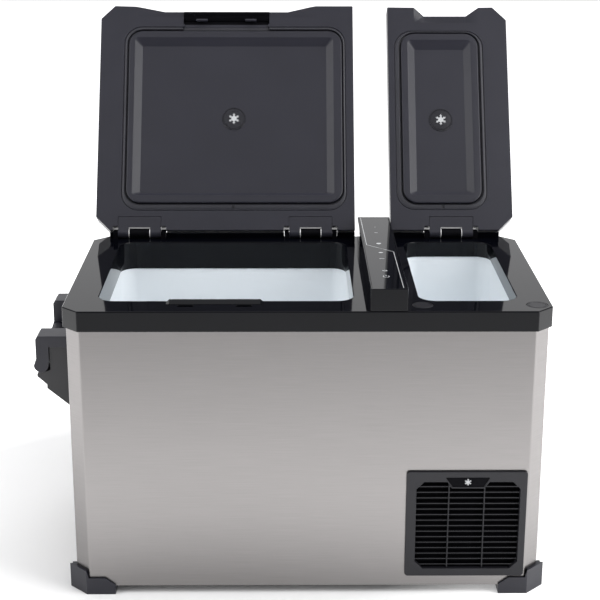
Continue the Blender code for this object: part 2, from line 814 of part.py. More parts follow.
def make_lid_gasket(lid):
    """The seal in the groove round the panel."""
    outer = rectangle(grow(forward(lid.seal), -GAP), 0.030 - GAP)
    inner = rectangle(grow(forward(lid.panel), GAP), 0.024 + GAP)
    low = RIM_TOP + 0.0004
    top = LID_BOTTOM + PANEL_PLATE
    gasket = plate(lid.name + "_gasket", outer, low, top, "rubber_black", holes=[inner])
    if lid is LEFT_LID:
        x0, x1 = KEEPER_X
        keeper_top = RIM_TOP + KEEPER_HEIGHT + 0.001
        cut(gasket, block("gasket_relief", (x0 - 0.004, 0, 0.4), (x1 + 0.004, 0.0465, keeper_top)))
    return gasket


def make_lid_foam(lid):
    outline = rectangle(grow(forward(lid.seal), -GAP), 0.030 - GAP)
    low = LID_BOTTOM + PANEL_PLATE + GAP
    return plate(lid.name + "_foam", outline, low, LID_TOP - LID_SKIN - GAP, "foam")


def make_lid_badge(lid):
    x, far = lid.badge
    floor = LID_BOTTOM + TRAY_DEPTH - GAP
    centre = (x, AXIS_Y - far)
    return rod(lid.name + "_badge", "Z", centre, floor - 0.0015, floor, BADGE, "badge_grey", 40)


def make_lid(lid):
    return [
        make_lid_shell(lid),
        make_lid_panel(lid),
        make_lid_gasket(lid),
        make_lid_foam(lid),
        make_lid_badge(lid),
    ]


# ---------------------------------------------------------------- hinges


def knuckle(name, x0, x1, material="deep_black"):
    return rod(name, "X", (AXIS_Y, AXIS_Z), x0, x1, BARREL, material)


def knuckle_stations(hinge):
    """Where the middle knuckle ends, between the leaf's two outer knuckles."""
    middle = (hinge.x0 + hinge.x1) / 2
    return middle - KNUCKLE_SPLIT + 0.002, middle + KNUCKLE_SPLIT - 0.002


def make_hinge_leaf(hinge):
    """The plate on the lid with a knuckle at each end."""
    a, b = knuckle_stations(hinge)
    leaf = block(
        hinge.name + "_leaf",
        (hinge.x0, AXIS_Y - LEAF_FAR, LID_BOTTOM),
        (hinge.x1, AXIS_Y - LEAF_NEAR, LID_BOTTOM + LEAF),
    )
    for label, x0, x1 in (("a", hinge.x0, a - WASHER), ("b", b + WASHER, hinge.x1)):
        tongue = block(
            "%s_tongue_%s" % (hinge.name, label),
            (x0, AXIS_Y - LEAF_NEAR - 0.002, LID_BOTTOM),
            (x1, AXIS_Y - 0.002, LID_BOTTOM + LEAF),
        )
        join(leaf, tongue, knuckle("%s_knuckle_%s" % (hinge.name, label), x0, x1))
    return cut(leaf, rod(hinge.name + "_leaf_bore", "X", (AXIS_Y, AXIS_Z), -1, 1, PIN + GAP, sides=16))


def make_hinge_base(hinge):
    """The rim's side: a strip behind the barrel, a wing at each end and the middle knuckle on a stem."""
    a, b = knuckle_stations(hinge)
    back = AXIS_Y + 0.0105
    foot = RIM_TOP + GAP
    base = block(
        hinge.name + "_base",
        (hinge.x0 - WING, AXIS_Y + 0.0080, foot),
        (hinge.x1 + WING, back, RIM_TOP + 0.0050),
    )
    for label, x0, x1 in (
        ("left", hinge.x0 - WING, hinge.x0 - 0.0005),
        ("right", hinge.x1 + 0.0005, hinge.x1 + WING),
    ):
        wing = "%s_wing_%s" % (hinge.name, label)
        join(base, block(wing, (x0, AXIS_Y - 0.006, foot), (x1, back, AXIS_Z + 0.0035)))
    stem = block(
        hinge.name + "_stem",
        (a + GAP, AXIS_Y - 0.003, foot),
        (b - GAP, back - 0.001, AXIS_Z),
    )
    join(base, stem, knuckle(hinge.name + "_knuckle", a + GAP, b - GAP))
    return cut(
        base,
        rod(
            hinge.name + "_bore",
            "X",
            (AXIS_Y, AXIS_Z),
            hinge.x0 - WING + 0.002,
            hinge.x1 + WING - 0.002,
            PIN + GAP,
            sides=16,
        ),
    )


def make_hinge_small_pieces(hinge):
    """The pin and the two washers beside the middle knuckle."""
    a, b = knuckle_stations(hinge)
    ends = (hinge.x0 - WING + 0.0025, hinge.x1 + WING - 0.0025)
    pin = rod(hinge.name + "_pin", "X", (AXIS_Y, AXIS_Z), *ends, PIN, "bare_steel", 16)
    washers = []
    for label, x0 in (("left", a - WASHER + GAP), ("right", b)):
        washer = rod(
            "%s_washer_%s" % (hinge.name, label),
            "X",
            (AXIS_Y, AXIS_Z),
            x0,
            x0 + WASHER - GAP,
            BARREL,
            "washer_white",
        )
        washers.append(cut(washer, rod("washer_bore", "X", (AXIS_Y, AXIS_Z), -1, 1, PIN + GAP, sides=16)))
    return [pin, *washers]


# ---------------------------------------------------------------- latch


def make_latch():
    """The sliding pad under the left lid's front edge, ribbed for the fingers, with its two hooks."""
    near, far = (AXIS_Y - s for s in LATCH_S)
    top = LID_BOTTOM + 0.005
    x0, x1 = LATCH_X
    pad = block("latch_pad", (x0, far, LID_BOTTOM), (x1, near, top))
    pitch = (near - far) / 6
    grooves = [
        ((x0 - 0.01, y, LID_BOTTOM - 0.01), (x1 + 0.01, y + 0.4 * pitch, LID_BOTTOM + 0.001))
        for y in np.arange(far + 0.6 * pitch, near - 0.5 * pitch, pitch)
    ]
    cut(pad, blocks("pad_grooves", grooves))
    for side in (-1, 1):
        x = sum(LATCH_X) / 2 + side * HOOK_SPREAD
        hook = block(
            "hook_%d" % (side + 1),
            (x - HOOK_HALF, AXIS_Y - 0.3712, HOOK_BOTTOM),
            (x + HOOK_HALF, AXIS_Y - 0.3678, top - 0.0005),
        )
        join(pad, hook)
    return pad


def cut_latch_room(shell):
    """The room that the latch slides in, open to the finger notch, and the room over the keeper."""
    x0, x1 = LATCH_X
    near = AXIS_Y - LATCH_TRAVEL_ROOM
    keeper_top = RIM_TOP + KEEPER_HEIGHT + 0.001
    return cut(
        shell,
        block(
            "latch_room",
            (x0 - 0.0012, AXIS_Y - 0.3890, LID_BOTTOM - 0.01),
            (x1 + 0.0012, near, LID_BOTTOM + 0.0055),
        ),
        block(
            "keeper_room",
            (KEEPER_X[0] - 0.002, near - 0.001, LID_BOTTOM - 0.01),
            (KEEPER_X[1] + 0.002, KEEPER_Y[1] + 0.001, keeper_top),
        ),
    )


def cut_finger_scoop(shell):
    """The hollow behind the right lid's notch, where a finger lifts it."""
    below = LID_BOTTOM - 0.01
    ceiling = LID_BOTTOM + 0.008
    profile = [(0.0105, below), (0.0299, below), (0.0299, LID_BOTTOM), (0.0215, ceiling), (0.0105, ceiling)]
    return cut(shell, plate("finger_scoop", profile, 0.2033, 0.2746, axis="X"))


# ---------------------------------------------------------------- handle


def make_handle_bail():
    """Two bent arms on bosses round the pivot, joined by a bar along the grip's axis."""
    top = ARM_PIVOT[1] + ARM_BOSS
    outline = [
        *arc(ARM_PIVOT, ARM_BOSS, 90, -90, 8),
        (ARM_INNER_X, ARM_PIVOT[1] - ARM_BOSS),
        (ARM_INNER_X, GRIP_AXIS[1] + GRIP_BOSS / 2),
        *arc(GRIP_AXIS, GRIP_BOSS, 0, -180, 10),
        (ARM_OUTER_X, GRIP_AXIS[1] + GRIP_BOSS),
        (ARM_OUTER_X, top - 0.002),
        (ARM_OUTER_X + 0.002, top),
    ]
    (front0, front1), (rear0, rear1) = ARMS_Y
    bail = plate("handle_bail", outline, front0, front1, "satin_charcoal", "Y")
    join(
        bail,
        plate("rear_arm", outline, rear0, rear1, axis="Y"),
        rod("bail_bar", "Y", GRIP_AXIS, front1 - 0.01, rear0 + 0.01, 0.006),
    )
    return cut(bail, rod("bail_bore", "Y", ARM_PIVOT, front0 + 0.0027, rear1 - 0.0027, 0.0028, sides=16))


def make_handle_grip():
    (_, front), (rear, _) = ARMS_Y
    sleeve = rod("handle_grip", "Y", GRIP_AXIS, front + GAP, rear - GAP, GRIP, "rubber_black", 28)
    return cut(sleeve, rod("grip_bore", "Y", GRIP_AXIS, front - 0.01, rear + 0.01, 0.006 + GAP))


def make_handle_base():
    """The wall bracket: a wedge under each arm, an ear beside it, and the plate between them."""
    wall = -WALL_X - GAP
    plate_x = wall - 0.004
    seat = ARM_PIVOT[1] - ARM_BOSS - GAP
    wedge = [
        (wall, seat),
        (-0.3770, seat),
        (-0.3770, 0.3180),
        (-0.3968, 0.3120),
        (-0.3968, 0.3083),
        (-0.3830, 0.2955),
        (-0.3830, 0.2895),
        (wall, 0.2547),
    ]
    (front0, front1), (rear0, rear1) = ARMS_Y
    low = (plate_x, front0 + 0.003, 0.262)
    base = block("handle_base", low, (wall, rear1 - 0.003, 0.350), "deep_black")
    for label, y0, y1 in (("front", front0, front1), ("rear", rear0, rear1)):
        join(base, plate("wedge_" + label, wedge, y0 + 0.003, y1 - 0.003, axis="Y"))
    join(base, block("base_top", (plate_x, front1 + GAP, 0.340), (wall, rear0 - GAP, 0.371)))
    ear = [(wall, 0.345), (wall, 0.371), *arc(ARM_PIVOT, ARM_BOSS, 90, 270, 8)]
    for label, y0 in (("front", front1 + GAP), ("rear", rear0 - GAP - 0.006)):
        join(base, plate("ear_" + label, ear, y0, y0 + 0.006, axis="Y"))
    return cut(base, rod("base_bore", "Y", ARM_PIVOT, front1 - 0.01, rear0 + 0.01, 0.0028, sides=16))


def make_handle_rod():
    (front0, _), (_, rear1) = ARMS_Y
    return rod("handle_rod", "Y", ARM_PIVOT, front0 + 0.003, rear1 - 0.003, 0.0025, "bare_steel", 16)


# ---------------------------------------------------------------- assembly


def make_pivot(name, place=(0, 0, 0), parent=None):
    """An empty on a joint's axis, placed in cabinet coordinates."""
    pivot = bpy.data.objects.new(name, None)
    PARTS.objects.link(pivot)
    pivot.parent = parent
    pivot.location = place
    if parent:
        pivot.location = Vector(place) - parent.matrix_world.translation
    bpy.context.view_layer.update()
    return pivot


def stand_on_origin(root):
    """Moves the cabinet so that the whole object's box stands on the origin, by its bottom's centre."""
    bpy.context.view_layer.update()
    graph = bpy.context.evaluated_depsgraph_get()
    low = np.full(3, np.inf)
    high = np.full(3, -np.inf)
    for obj in PARTS.objects:
        if obj.type == "EMPTY":
            continue
        evaluated = obj.evaluated_get(graph)
        mesh = evaluated.to_mesh()
        points = np.empty(len(mesh.vertices) * 3, np.float32)
        mesh.vertices.foreach_get("co", points)
        evaluated.to_mesh_clear()
        world = np.array(evaluated.matrix_world)
        points = points.reshape(-1, 3) @ world[:3, :3].T + world[:3, 3]
        low = np.minimum(low, points.min(axis=0))
        high = np.maximum(high, points.max(axis=0))
    root.location = (-(low[0] + high[0]) / 2, -(low[1] + high[1]) / 2, -low[2])


def build():
    clear_scene()
    root = make_pivot("cabinet_root")
    axis = (0, AXIS_Y, AXIS_Z)
    left = make_pivot("left_lid_axis", axis, root)
    right = make_pivot("right_lid_axis", axis, root)
    slide = make_pivot("latch_slide", (sum(LATCH_X) / 2, AXIS_Y - LATCH_S[1], LID_BOTTOM), left)
    handle = make_pivot("handle_axis", (ARM_PIVOT[0], ARMS_Y[0][0], ARM_PIVOT[1]), root)
    fan = make_pivot("fan_axis", (FAN_CENTRE[0], FAN_Y[0], FAN_CENTRE[1]), root)

    carry(root, make_cabinet_shell(), make_base_pan(), make_top_rim(), *make_magnet_caps())
    carry(root, *make_console(), make_latch_keeper(), make_foam())
    carry(root, make_liner("liner_main", WELL_MAIN, COLLAR_MAIN, MAIN_FLOOR))
    carry(root, make_liner("liner_small", WELL_SMALL, COLLAR_SMALL, SMALL_FLOOR))
    carry(root, make_evaporator("evaporator_main", WELL_MAIN, 0.12, 0.33, 3))
    carry(root, make_evaporator("evaporator_small", WELL_SMALL, 0.27, 0.36, 2))
    carry(root, make_intake_grille(), make_grille_plaque(), make_exhaust_grille())
    carry(root, make_recessed_grip(), *make_power_inlets())
    frame, rotor = make_fan()
    carry(root, *make_compressor(), make_condenser(), frame, make_control_board())
    carry(fan, rotor)
    carry(root, *make_feet())

    for lid, pivot, finish_front in (
        (LEFT_LID, left, cut_latch_room),
        (RIGHT_LID, right, cut_finger_scoop),
    ):
        pieces = make_lid(lid)
        finish_front(pieces[0])
        carry(pivot, *pieces)
        for hinge in lid.hinges:
            carry(pivot, make_hinge_leaf(hinge))
            carry(root, make_hinge_base(hinge), *make_hinge_small_pieces(hinge))
    carry(slide, make_latch())
    carry(root, make_handle_base(), make_handle_rod())
    carry(handle, make_handle_bail(), make_handle_grip())

    for pivot in (left, right):
        pivot.rotation_euler = (radians(-LID_OPEN), 0, 0)
    stand_on_origin(root)


build()
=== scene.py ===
import json
from math import atan2, cos, pi, radians, sin, tan

import bmesh
import bpy
from mathutils import Matrix, Vector


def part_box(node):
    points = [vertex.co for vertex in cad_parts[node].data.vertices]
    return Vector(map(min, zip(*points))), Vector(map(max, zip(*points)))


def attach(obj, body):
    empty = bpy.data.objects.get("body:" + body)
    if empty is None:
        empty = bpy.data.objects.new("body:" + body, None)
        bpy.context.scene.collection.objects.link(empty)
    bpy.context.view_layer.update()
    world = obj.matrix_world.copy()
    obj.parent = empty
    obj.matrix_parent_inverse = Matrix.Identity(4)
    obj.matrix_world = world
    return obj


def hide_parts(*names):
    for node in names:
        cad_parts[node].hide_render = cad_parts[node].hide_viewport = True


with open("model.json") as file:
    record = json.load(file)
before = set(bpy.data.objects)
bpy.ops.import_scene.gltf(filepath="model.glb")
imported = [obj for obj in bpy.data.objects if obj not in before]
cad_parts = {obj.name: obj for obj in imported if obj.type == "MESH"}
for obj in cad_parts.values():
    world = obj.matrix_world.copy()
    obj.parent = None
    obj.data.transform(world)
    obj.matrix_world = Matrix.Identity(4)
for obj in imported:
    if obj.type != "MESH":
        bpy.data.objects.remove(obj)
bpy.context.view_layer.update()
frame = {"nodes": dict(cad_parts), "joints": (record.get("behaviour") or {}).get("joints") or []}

SCENE = bpy.context.scene
NODES = frame["nodes"]

# Pieces are drawn in cabinet coordinates with the lids closed: x = 0 on the cabinet's middle,
# y = 0 on the rim's front face and z = 0 on the floor. Lengths are in metres.
MM = 0.001
# Outlines are drawn this many times too large, so that Blender's curve fill keeps small details.
DRAWN = 1000
# The space left between two pieces that sit against each other.
GAP = 0.0003

WIDTH, DEPTH, RIM_TOP, RIM_HEIGHT = 0.690, 0.4065, 0.438, 0.030
HALF = WIDTH / 2
CORNER = 0.023
INSET, STEEL = 0.004, 0.0012
WALL_X = HALF - INSET
OUTSIDE = WALL_X + GAP
STEEL_BOTTOM, STEEL_TOP = 0.0126, 0.4077
SCREW_ROW = 0.030

# The wells, each with how far its collar hangs below the rim, and the liners under them.
WELL_MAIN = (-0.2985, 0.066, 0.050, 0.3694)
WELL_SMALL = (0.1595, 0.300, 0.050, 0.369)
COLLARS = ((WELL_MAIN, 0.0448), (WELL_SMALL, 0.0251))
WELL_RADIUS = 0.025
LINER, LINER_STEP = 0.0025, 0.0015
MAIN_FLOOR, SMALL_FLOOR = 0.055, 0.236

# The lids, their hinge axis and what their undersides make room for.
LID_BOTTOM, LID_TOP = RIM_TOP + 0.001, RIM_TOP + 0.0326
AXIS_Y, AXIS_Z = 0.3956, RIM_TOP + 0.008
LEAF_FAR = 0.0258
LEAF_ROOM = LID_BOTTOM + 0.0025
KEEPER_ROOM_TOP = RIM_TOP + 0.0053
TRAY_FLOOR = LID_BOTTOM + 0.006

# The latch with its two hooks, their slots in the rim and the ramp behind them.
LATCH_X = (-0.2023, -0.0597)
LATCH_Y = (AXIS_Y - 0.3860, AXIS_Y - 0.3702)
HOOK_X = [sum(LATCH_X) / 2 + side * 0.0412 for side in (-1, 1)]
HOOK_HALF = 0.0095
SLOT_HALF, SLOT_Y = HOOK_HALF + 0.0015, (0.0232, 0.0320)
KEEPER = (-0.2000, -0.0625, 0.0325, 0.0443)

CONSOLE_X = (0.0866, 0.139)
PANEL_TOP = LID_TOP - 0.00025
MAGNETS = (("left", (0.162, 0.030)), ("right", (0.3235, 0.0295)))
ARM_PIVOT, GRIP_AXIS = (-0.3502, 0.3625), (-0.390, 0.326)
ARMS_Y = ((0.090, 0.130), (0.265, 0.305))

# Rectangles on the front in x and z, and on the right end in y and z.
INTAKE = (0.143, 0.318, 0.029, 0.1955)
MOUTH = (0.1577, 0.308, 0.0412, 0.179)
EXHAUST = (0.060, 0.285, 0.038, 0.200)
POWER = (0.300, 0.372, 0.070, 0.192)
RECESS = (0.150, 0.262, 0.325, 0.365)
# The last is how far the dark sheets behind the grilles, painted shade, reach past their mouths.
MOUTH_CORNER, BLADES, SHADE_SHEET_LAP = 0.011, 15, 0.0020
DC_Z = 0.163

# In both, the seal, panel, rim and tray are (x0, x1, near, far), near and far being measured
# forward from the hinge axis.
LEFT = dict(
    name="left_lid", x0=-0.3424, x1=0.0825, far=0.396, outer=-1, scoop=0.0055, scoop_y=0.0190,
    notch=((-0.2855, 0.395), (-0.2356, 0.387), (-0.0271, 0.387), (0.0199, 0.396)),
    seal=(-0.302, 0.0694, 0.0365, 0.3586), panel=(-0.2947, 0.0636, 0.050, 0.351),
    rim=(-0.2846, 0.0488, 0.0624, 0.3393), tray=(-0.2713, 0.0368, 0.0684, 0.325),
    badge=(-0.1174, 0.1968), hinges=((-0.3056, -0.2359), (-0.0253, 0.0447)),
)
RIGHT = dict(
    name="right_lid", x0=0.1410, x1=0.3420, far=0.394, outer=1, scoop=0.008, scoop_y=0.0299,
    notch=((0.1857, 0.3935), (0.2033, 0.3805), (0.2746, 0.3806), (0.296, 0.3935)),
    seal=(0.1519, 0.3013, 0.0375, 0.3513), panel=(0.1628, 0.2929, 0.0495, 0.3468),
    rim=(0.1744, 0.2804, 0.0632, 0.3351), tray=(0.1861, 0.2679, 0.0709, 0.319),
    badge=(0.2279, 0.1949), hinges=((0.2051, 0.2759),),
)

# Where the cabinet stands in the frame, and the lids' resting turn about their axis.
low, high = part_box("top_rim")
ORIGIN = Vector(((low[0] + high[0]) / 2, low[1], high[2] - RIM_TOP))
STAND = Matrix.Translation(ORIGIN)
lid_range = next(j for j in frame["joints"] if j["name"] == "left_lid_hinge")["range_deg"]
AXIS = Matrix.Translation((0, AXIS_Y, AXIS_Z))
OPEN = STAND @ AXIS @ Matrix.Rotation(radians(-max(lid_range)), 4, "X") @ AXIS.inverted()
ON_LID = {"left_lid": OPEN, "right_lid": OPEN, "latch": OPEN}


# ---------------------------------------------------------------- materials


def new_material(name, colour, roughness, metallic=0.0):
    material = bpy.data.materials.new(name)
    material.use_nodes = True
    shader = material.node_tree.nodes["Principled BSDF"]
    shader.inputs["Base Color"].default_value = (*colour, 1)
    shader.inputs["Roughness"].default_value = roughness
    shader.inputs["Metallic"].default_value = metallic
    return material, material.node_tree, shader


def noise(tree, scale, detail=3.0, stretch=(1, 1, 1)):
    """A noise texture in the piece's own coordinates."""
    place = tree.nodes.new("ShaderNodeTexCoord")
    mapping = tree.nodes.new("ShaderNodeMapping")
    mapping.inputs["Scale"].default_value = stretch
    texture = tree.nodes.new("ShaderNodeTexNoise")
    texture.inputs["Scale"].default_value = scale
    texture.inputs["Detail"].default_value = detail
    tree.links.new(place.outputs["Object"], mapping.inputs["Vector"])
    tree.links.new(mapping.outputs["Vector"], texture.inputs["Vector"])
    return texture.outputs["Fac"]


def ramp(tree, source, low, high, start=0.3, end=0.7):
    """Turns a texture into a value or a colour between two others."""
    node = tree.nodes.new("ShaderNodeMapRange")
    node.inputs["From Min"].default_value = start
    node.inputs["From Max"].default_value = end
    tree.links.new(source, node.inputs["Value"])
    if not isinstance(low, tuple):
        node.inputs["To Min"].default_value = low
        node.inputs["To Max"].default_value = high
        return node.outputs["Result"]
    mix = tree.nodes.new("ShaderNodeMix")
    mix.data_type = "RGBA"
    mix.inputs["A"].default_value = (*low, 1)
    mix.inputs["B"].default_value = (*high, 1)
    tree.links.new(node.outputs["Result"], mix.inputs["Factor"])
    return mix.outputs["Result"]


def bump(tree, shader, source, strength, distance):
    """Turns a texture into a fine relief."""
    node = tree.nodes.new("ShaderNodeBump")
    node.inputs["Strength"].default_value = strength
    node.inputs["Distance"].default_value = distance
    tree.links.new(source, node.inputs["Height"])
    tree.links.new(node.outputs["Normal"], shader.inputs["Normal"])


def moulded(name, colour, roughness, grain=1500, depth=0.25, spread=0.12, shine=0.5):
    """Moulded plastic or paint: fine grain, faint cloudiness and uneven gloss."""
    material, tree, shader = new_material(name, colour, roughness)
    darker = tuple(c * (1 - spread) for c in colour)
    lighter = tuple(c * (1 + spread) for c in colour)
    cloud = noise(tree, 14, 4)
    fine = noise(tree, grain, 2)
    tree.links.new(ramp(tree, cloud, darker, lighter), shader.inputs["Base Color"])
    gloss = ramp(tree, noise(tree, 45, 5), roughness * 0.95, min(roughness * 1.06, 1))
    tree.links.new(gloss, shader.inputs["Roughness"])
    bump(tree, shader, fine, depth, 0.00008)
    shader.inputs["Specular IOR Level"].default_value = shine
    return material


def brushed(name, colour, roughness, stretch, line=1300):
    """Rolled and brushed metal, its lines running across the direction with the high scale."""
    material, tree, shader = new_material(name, colour, roughness, 1.0)
    lines = noise(tree, line, 2, stretch)
    wide = noise(tree, line / 5, 3, stretch)
    darker = tuple(c * 0.96 for c in colour)
    lighter = tuple(min(c * 1.04, 1) for c in colour)
    tree.links.new(ramp(tree, lines, darker, lighter), shader.inputs["Base Color"])
    tree.links.new(ramp(tree, wide, roughness * 0.94, roughness * 1.07), shader.inputs["Roughness"])
    bump(tree, shader, lines, 0.10, 0.00002)
    return material


M = {
    "gloss_black": moulded("gloss_black", (0.0010, 0.0012, 0.0024), 0.05, 900, 0.015, 0.2, 0.26),
    "satin_charcoal": moulded("satin_charcoal", (0.018, 0.018, 0.025), 0.33, 1500, 0.2, 0.06, 0.34),
    "deep_black": moulded("deep_black", (0.010, 0.010, 0.013), 0.38, 1400, 0.2, 0.12, 0.3),
    "rubber_black": moulded("rubber_black", (0.020, 0.020, 0.026), 0.45, 1200, 0.2, 0.1, 0.4),
    "liner_white": moulded("liner_white", (0.86, 0.90, 0.93), 0.30, 900, 0.01, 0.004),
    "washer_white": moulded("washer_white", (0.80, 0.80, 0.80), 0.42, 900, 0.1, 0.04),
    "brushed_steel": brushed("brushed_steel", (0.238, 0.228, 0.225), 0.30, (0.012, 0.012, 1)),
    "bare_steel": brushed("bare_steel", (0.50, 0.50, 0.50), 0.32, (0.05, 0.05, 1)),
    "copper": brushed("copper", (0.72, 0.36, 0.22), 0.35, (1, 1, 0.1)),
    "foam": moulded("foam", (0.74, 0.66, 0.46), 0.9, 500, 0.6),
    "machine_black": moulded("machine_black", (0.014, 0.014, 0.016), 0.42, 700, 0.35),
    "machine_plastic": moulded("machine_plastic", (0.014, 0.014, 0.016), 0.48, 1200, 0.25),
    "board_green": moulded("board_green", (0.02, 0.13, 0.05), 0.45, 300, 0.3),
    "badge_grey": moulded("badge_grey", (0.012, 0.012, 0.016), 0.28, 900, 0.05, 0.1, 0.4),
    "matt_black": moulded("matt_black", (0.002, 0.002, 0.003), 0.55, 900, 0.1, 0.1, 0.05),
    "print_grey": moulded("print_grey", (0.42, 0.43, 0.44), 0.35, 900, 0.05, 0.05),
}


# ---------------------------------------------------------------- drawing tools


def new_object(name, bm):
    bmesh.ops.recalc_face_normals(bm, faces=bm.faces)
    mesh = bpy.data.meshes.new(name)
    bm.to_mesh(mesh)
    bm.free()
    obj = bpy.data.objects.new(name, mesh)
    SCENE.collection.objects.link(obj)
    return obj


# Each matrix turns a drawing in u, v with thickness w so that w runs along the named axis.
ALONG = {
    "Z": Matrix.Identity(4),
    "Y": Matrix(((1, 0, 0, 0), (0, 0, 1, 0), (0, 1, 0, 0), (0, 0, 0, 1))),
    "X": Matrix(((0, 0, 1, 0), (1, 0, 0, 0), (0, 1, 0, 0), (0, 0, 0, 1))),
}


def plate(name, outlines, low, high, axis="Z", edge=0.0, segments=3):
    """Flat outlines, with holes or islands, from low to high along an axis, with rounded edges."""
    curve = bpy.data.curves.new(name, "CURVE")
    curve.dimensions = "2D"
    curve.fill_mode = "BOTH"
    curve.extrude = DRAWN * ((high - low) / 2 - edge)
    if edge:
        curve.bevel_depth = DRAWN * edge
        curve.offset = -DRAWN * edge
        curve.bevel_resolution = segments - 1
    for points in outlines:
        spline = curve.splines.new("POLY")
        spline.points.add(len(points) - 1)
        for point, place in zip(spline.points, points):
            point.co = (DRAWN * place[0], DRAWN * place[1], 0, 1)
        spline.use_cyclic_u = True
    drawing = bpy.data.objects.new(name, curve)
    SCENE.collection.objects.link(drawing)
    mesh = bpy.data.meshes.new_from_object(
        drawing.evaluated_get(bpy.context.evaluated_depsgraph_get())
    )
    bpy.data.objects.remove(drawing)
    bm = bmesh.new()
    bm.from_mesh(mesh)
    bmesh.ops.scale(bm, vec=(1 / DRAWN,) * 3, verts=bm.verts)
    bmesh.ops.remove_doubles(bm, verts=bm.verts, dist=1e-6)
    bmesh.ops.dissolve_limit(bm, angle_limit=radians(0.3), verts=bm.verts, edges=bm.edges)
    lift = Matrix.Translation((0, 0, (low + high) / 2))
    bmesh.ops.transform(bm, matrix=ALONG[axis] @ lift, verts=bm.verts)
    return new_object(name, bm)


def blocks(name, boxes):
    bm = bmesh.new()
    for low, high in boxes:
        low, high = Vector(low), Vector(high)
        verts = bmesh.ops.create_cube(bm, size=1)["verts"]
        bmesh.ops.scale(bm, vec=high - low, verts=verts)
        bmesh.ops.translate(bm, vec=(low + high) / 2, verts=verts)
    return new_object(name, bm)


def baked(obj, operation, *others):
    """Cuts other objects out of this one, or joins them on, for good."""
    for other in others:
        modifier = obj.modifiers.new(other.name, "BOOLEAN")
        modifier.operation = operation
        modifier.solver = "EXACT"
        modifier.object = other
    graph = bpy.context.evaluated_depsgraph_get()
    mesh = bpy.data.meshes.new_from_object(obj.evaluated_get(graph))
    obj.modifiers.clear()
    obj.data = mesh
    for other in others:
        bpy.data.objects.remove(other)
    return obj


def cut(obj, *others):
    return baked(obj, "DIFFERENCE", *others)


def join(obj, *others):
    return baked(obj, "UNION", *others)


def loft(name, rings, closed=False):
    """Skins rings of equally many points. Its ends are capped, or joined where it is closed."""
    bm = bmesh.new()
    rows = [[bm.verts.new(point) for point in ring] for ring in rings]
    pairs = list(zip(rows, rows[1:])) + ([(rows[-1], rows[0])] if closed else [])
    for a, b in pairs:
        for i in range(len(a)):
            j = (i + 1) % len(a)
            bm.faces.new((a[i], a[j], b[j], b[i]))
    if not closed:
        bm.faces.new(rows[0])
        bm.faces.new(rows[-1])
    return new_object(name, bm)


def lathe(name, axis, centre, profile, steps=48):
    """A solid of revolution from radius and distance along the axis. It starts and ends with a cap."""
    rings = []
    for radius, along in profile:
        ring = []
        for i in range(steps):
            a = 2 * pi * i / steps
            flat = Vector((centre[0] + radius * cos(a), centre[1] + radius * sin(a), along))
            ring.append(ALONG[axis] @ flat)
        rings.append(ring)
    return loft(name, rings)


def rod(name, axis, centre, low, high, radius, edge=0.0004, steps=32):
    profile = [(radius - edge, low), (radius, low + edge), (radius, high - edge), (radius - edge, high)]
    return lathe(name, axis, centre, profile, steps)


def arc(centre, radius, start, end, steps):
    turns = [radians(start + (end - start) * i / steps) for i in range(steps + 1)]
    return [(centre[0] + radius * cos(a), centre[1] + radius * sin(a)) for a in turns]


def rectangle(rect, radius=0.0, steps=8):
    """An outline with square corners, or with round ones of this radius."""
    x0, x1, y0, y1 = rect
    if not radius:
        return [(x0, y0), (x1, y0), (x1, y1), (x0, y1)]
    corners = (
        (x1 - radius, y1 - radius, 0),
        (x0 + radius, y1 - radius, 90),
        (x0 + radius, y0 + radius, 180),
        (x1 - radius, y0 + radius, 270),
    )
    return [p for x, y, start in corners for p in arc((x, y), radius, start, start + 90, steps)]


def grow(rect, amount):
    x0, x1, y0, y1 = rect
    return (x0 - amount, x1 + amount, y0 - amount, y1 + amount)


def chamfered(inset):
    """The cabinet's plan with its four chamfered corners, moved in by an inset."""
    corner = CORNER - inset * (2 - 2**0.5)
    return rectangle(grow((-HALF, HALF, 0, DEPTH), -inset), corner, steps=1)


def fillet(points, radius, steps=3):
    """Rounds each corner of an outline, as far as its sides leave room."""
    out = []
    for i, corner in enumerate(points):
        here = Vector(corner)
        back = Vector(points[i - 1]) - here
        ahead = Vector(points[(i + 1) % len(points)]) - here
        room = 0.45 * min(back.length, ahead.length)
        back.normalize()
        ahead.normalize()
        half = back.angle(ahead) / 2
        if half > pi / 2 - 0.02:
            out.append(tuple(corner))
            continue
        reach = min(radius / tan(half), room)
        size = reach * tan(half)
        centre = here + (back + ahead).normalized() * (size / sin(half))
        start = here + back * reach - centre
        end = here + ahead * reach - centre
        first = atan2(start.y, start.x)
        sweep = (atan2(end.y, end.x) - first + pi) % (2 * pi) - pi
        for k in range(steps + 1):
            a = first + sweep * k / steps
            out.append((centre.x + size * cos(a), centre.y + size * sin(a)))
    return out


def forward(rect):
    """A lid's rectangle, from distances forward of the hinge axis to y."""
    x0, x1, near, far = rect
    return (x0, x1, AXIS_Y - far, AXIS_Y - near)


def level(outline, z):
    return [(x, y, z) for x, y in outline]


def finish(obj, body, slot, *nodes, material=None, smooth=38):
    """Shades a piece, puts it at rest, hangs it on the body that it rides on, and hides the CAD nodes that it
    stands in for.
    """
    obj.data.materials.clear()
    obj.data.materials.append(M[material or slot])
    obj.data.shade_smooth()
    obj.data.set_sharp_from_angle(angle=radians(smooth))
    weighted = obj.modifiers.new("weighted", "WEIGHTED_NORMAL")
    weighted.keep_sharp = True
    weighted.weight = 80
    obj.matrix_world = ON_LID.get(body, STAND)
    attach(obj, body)
    if nodes:
        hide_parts(*nodes)
    return obj


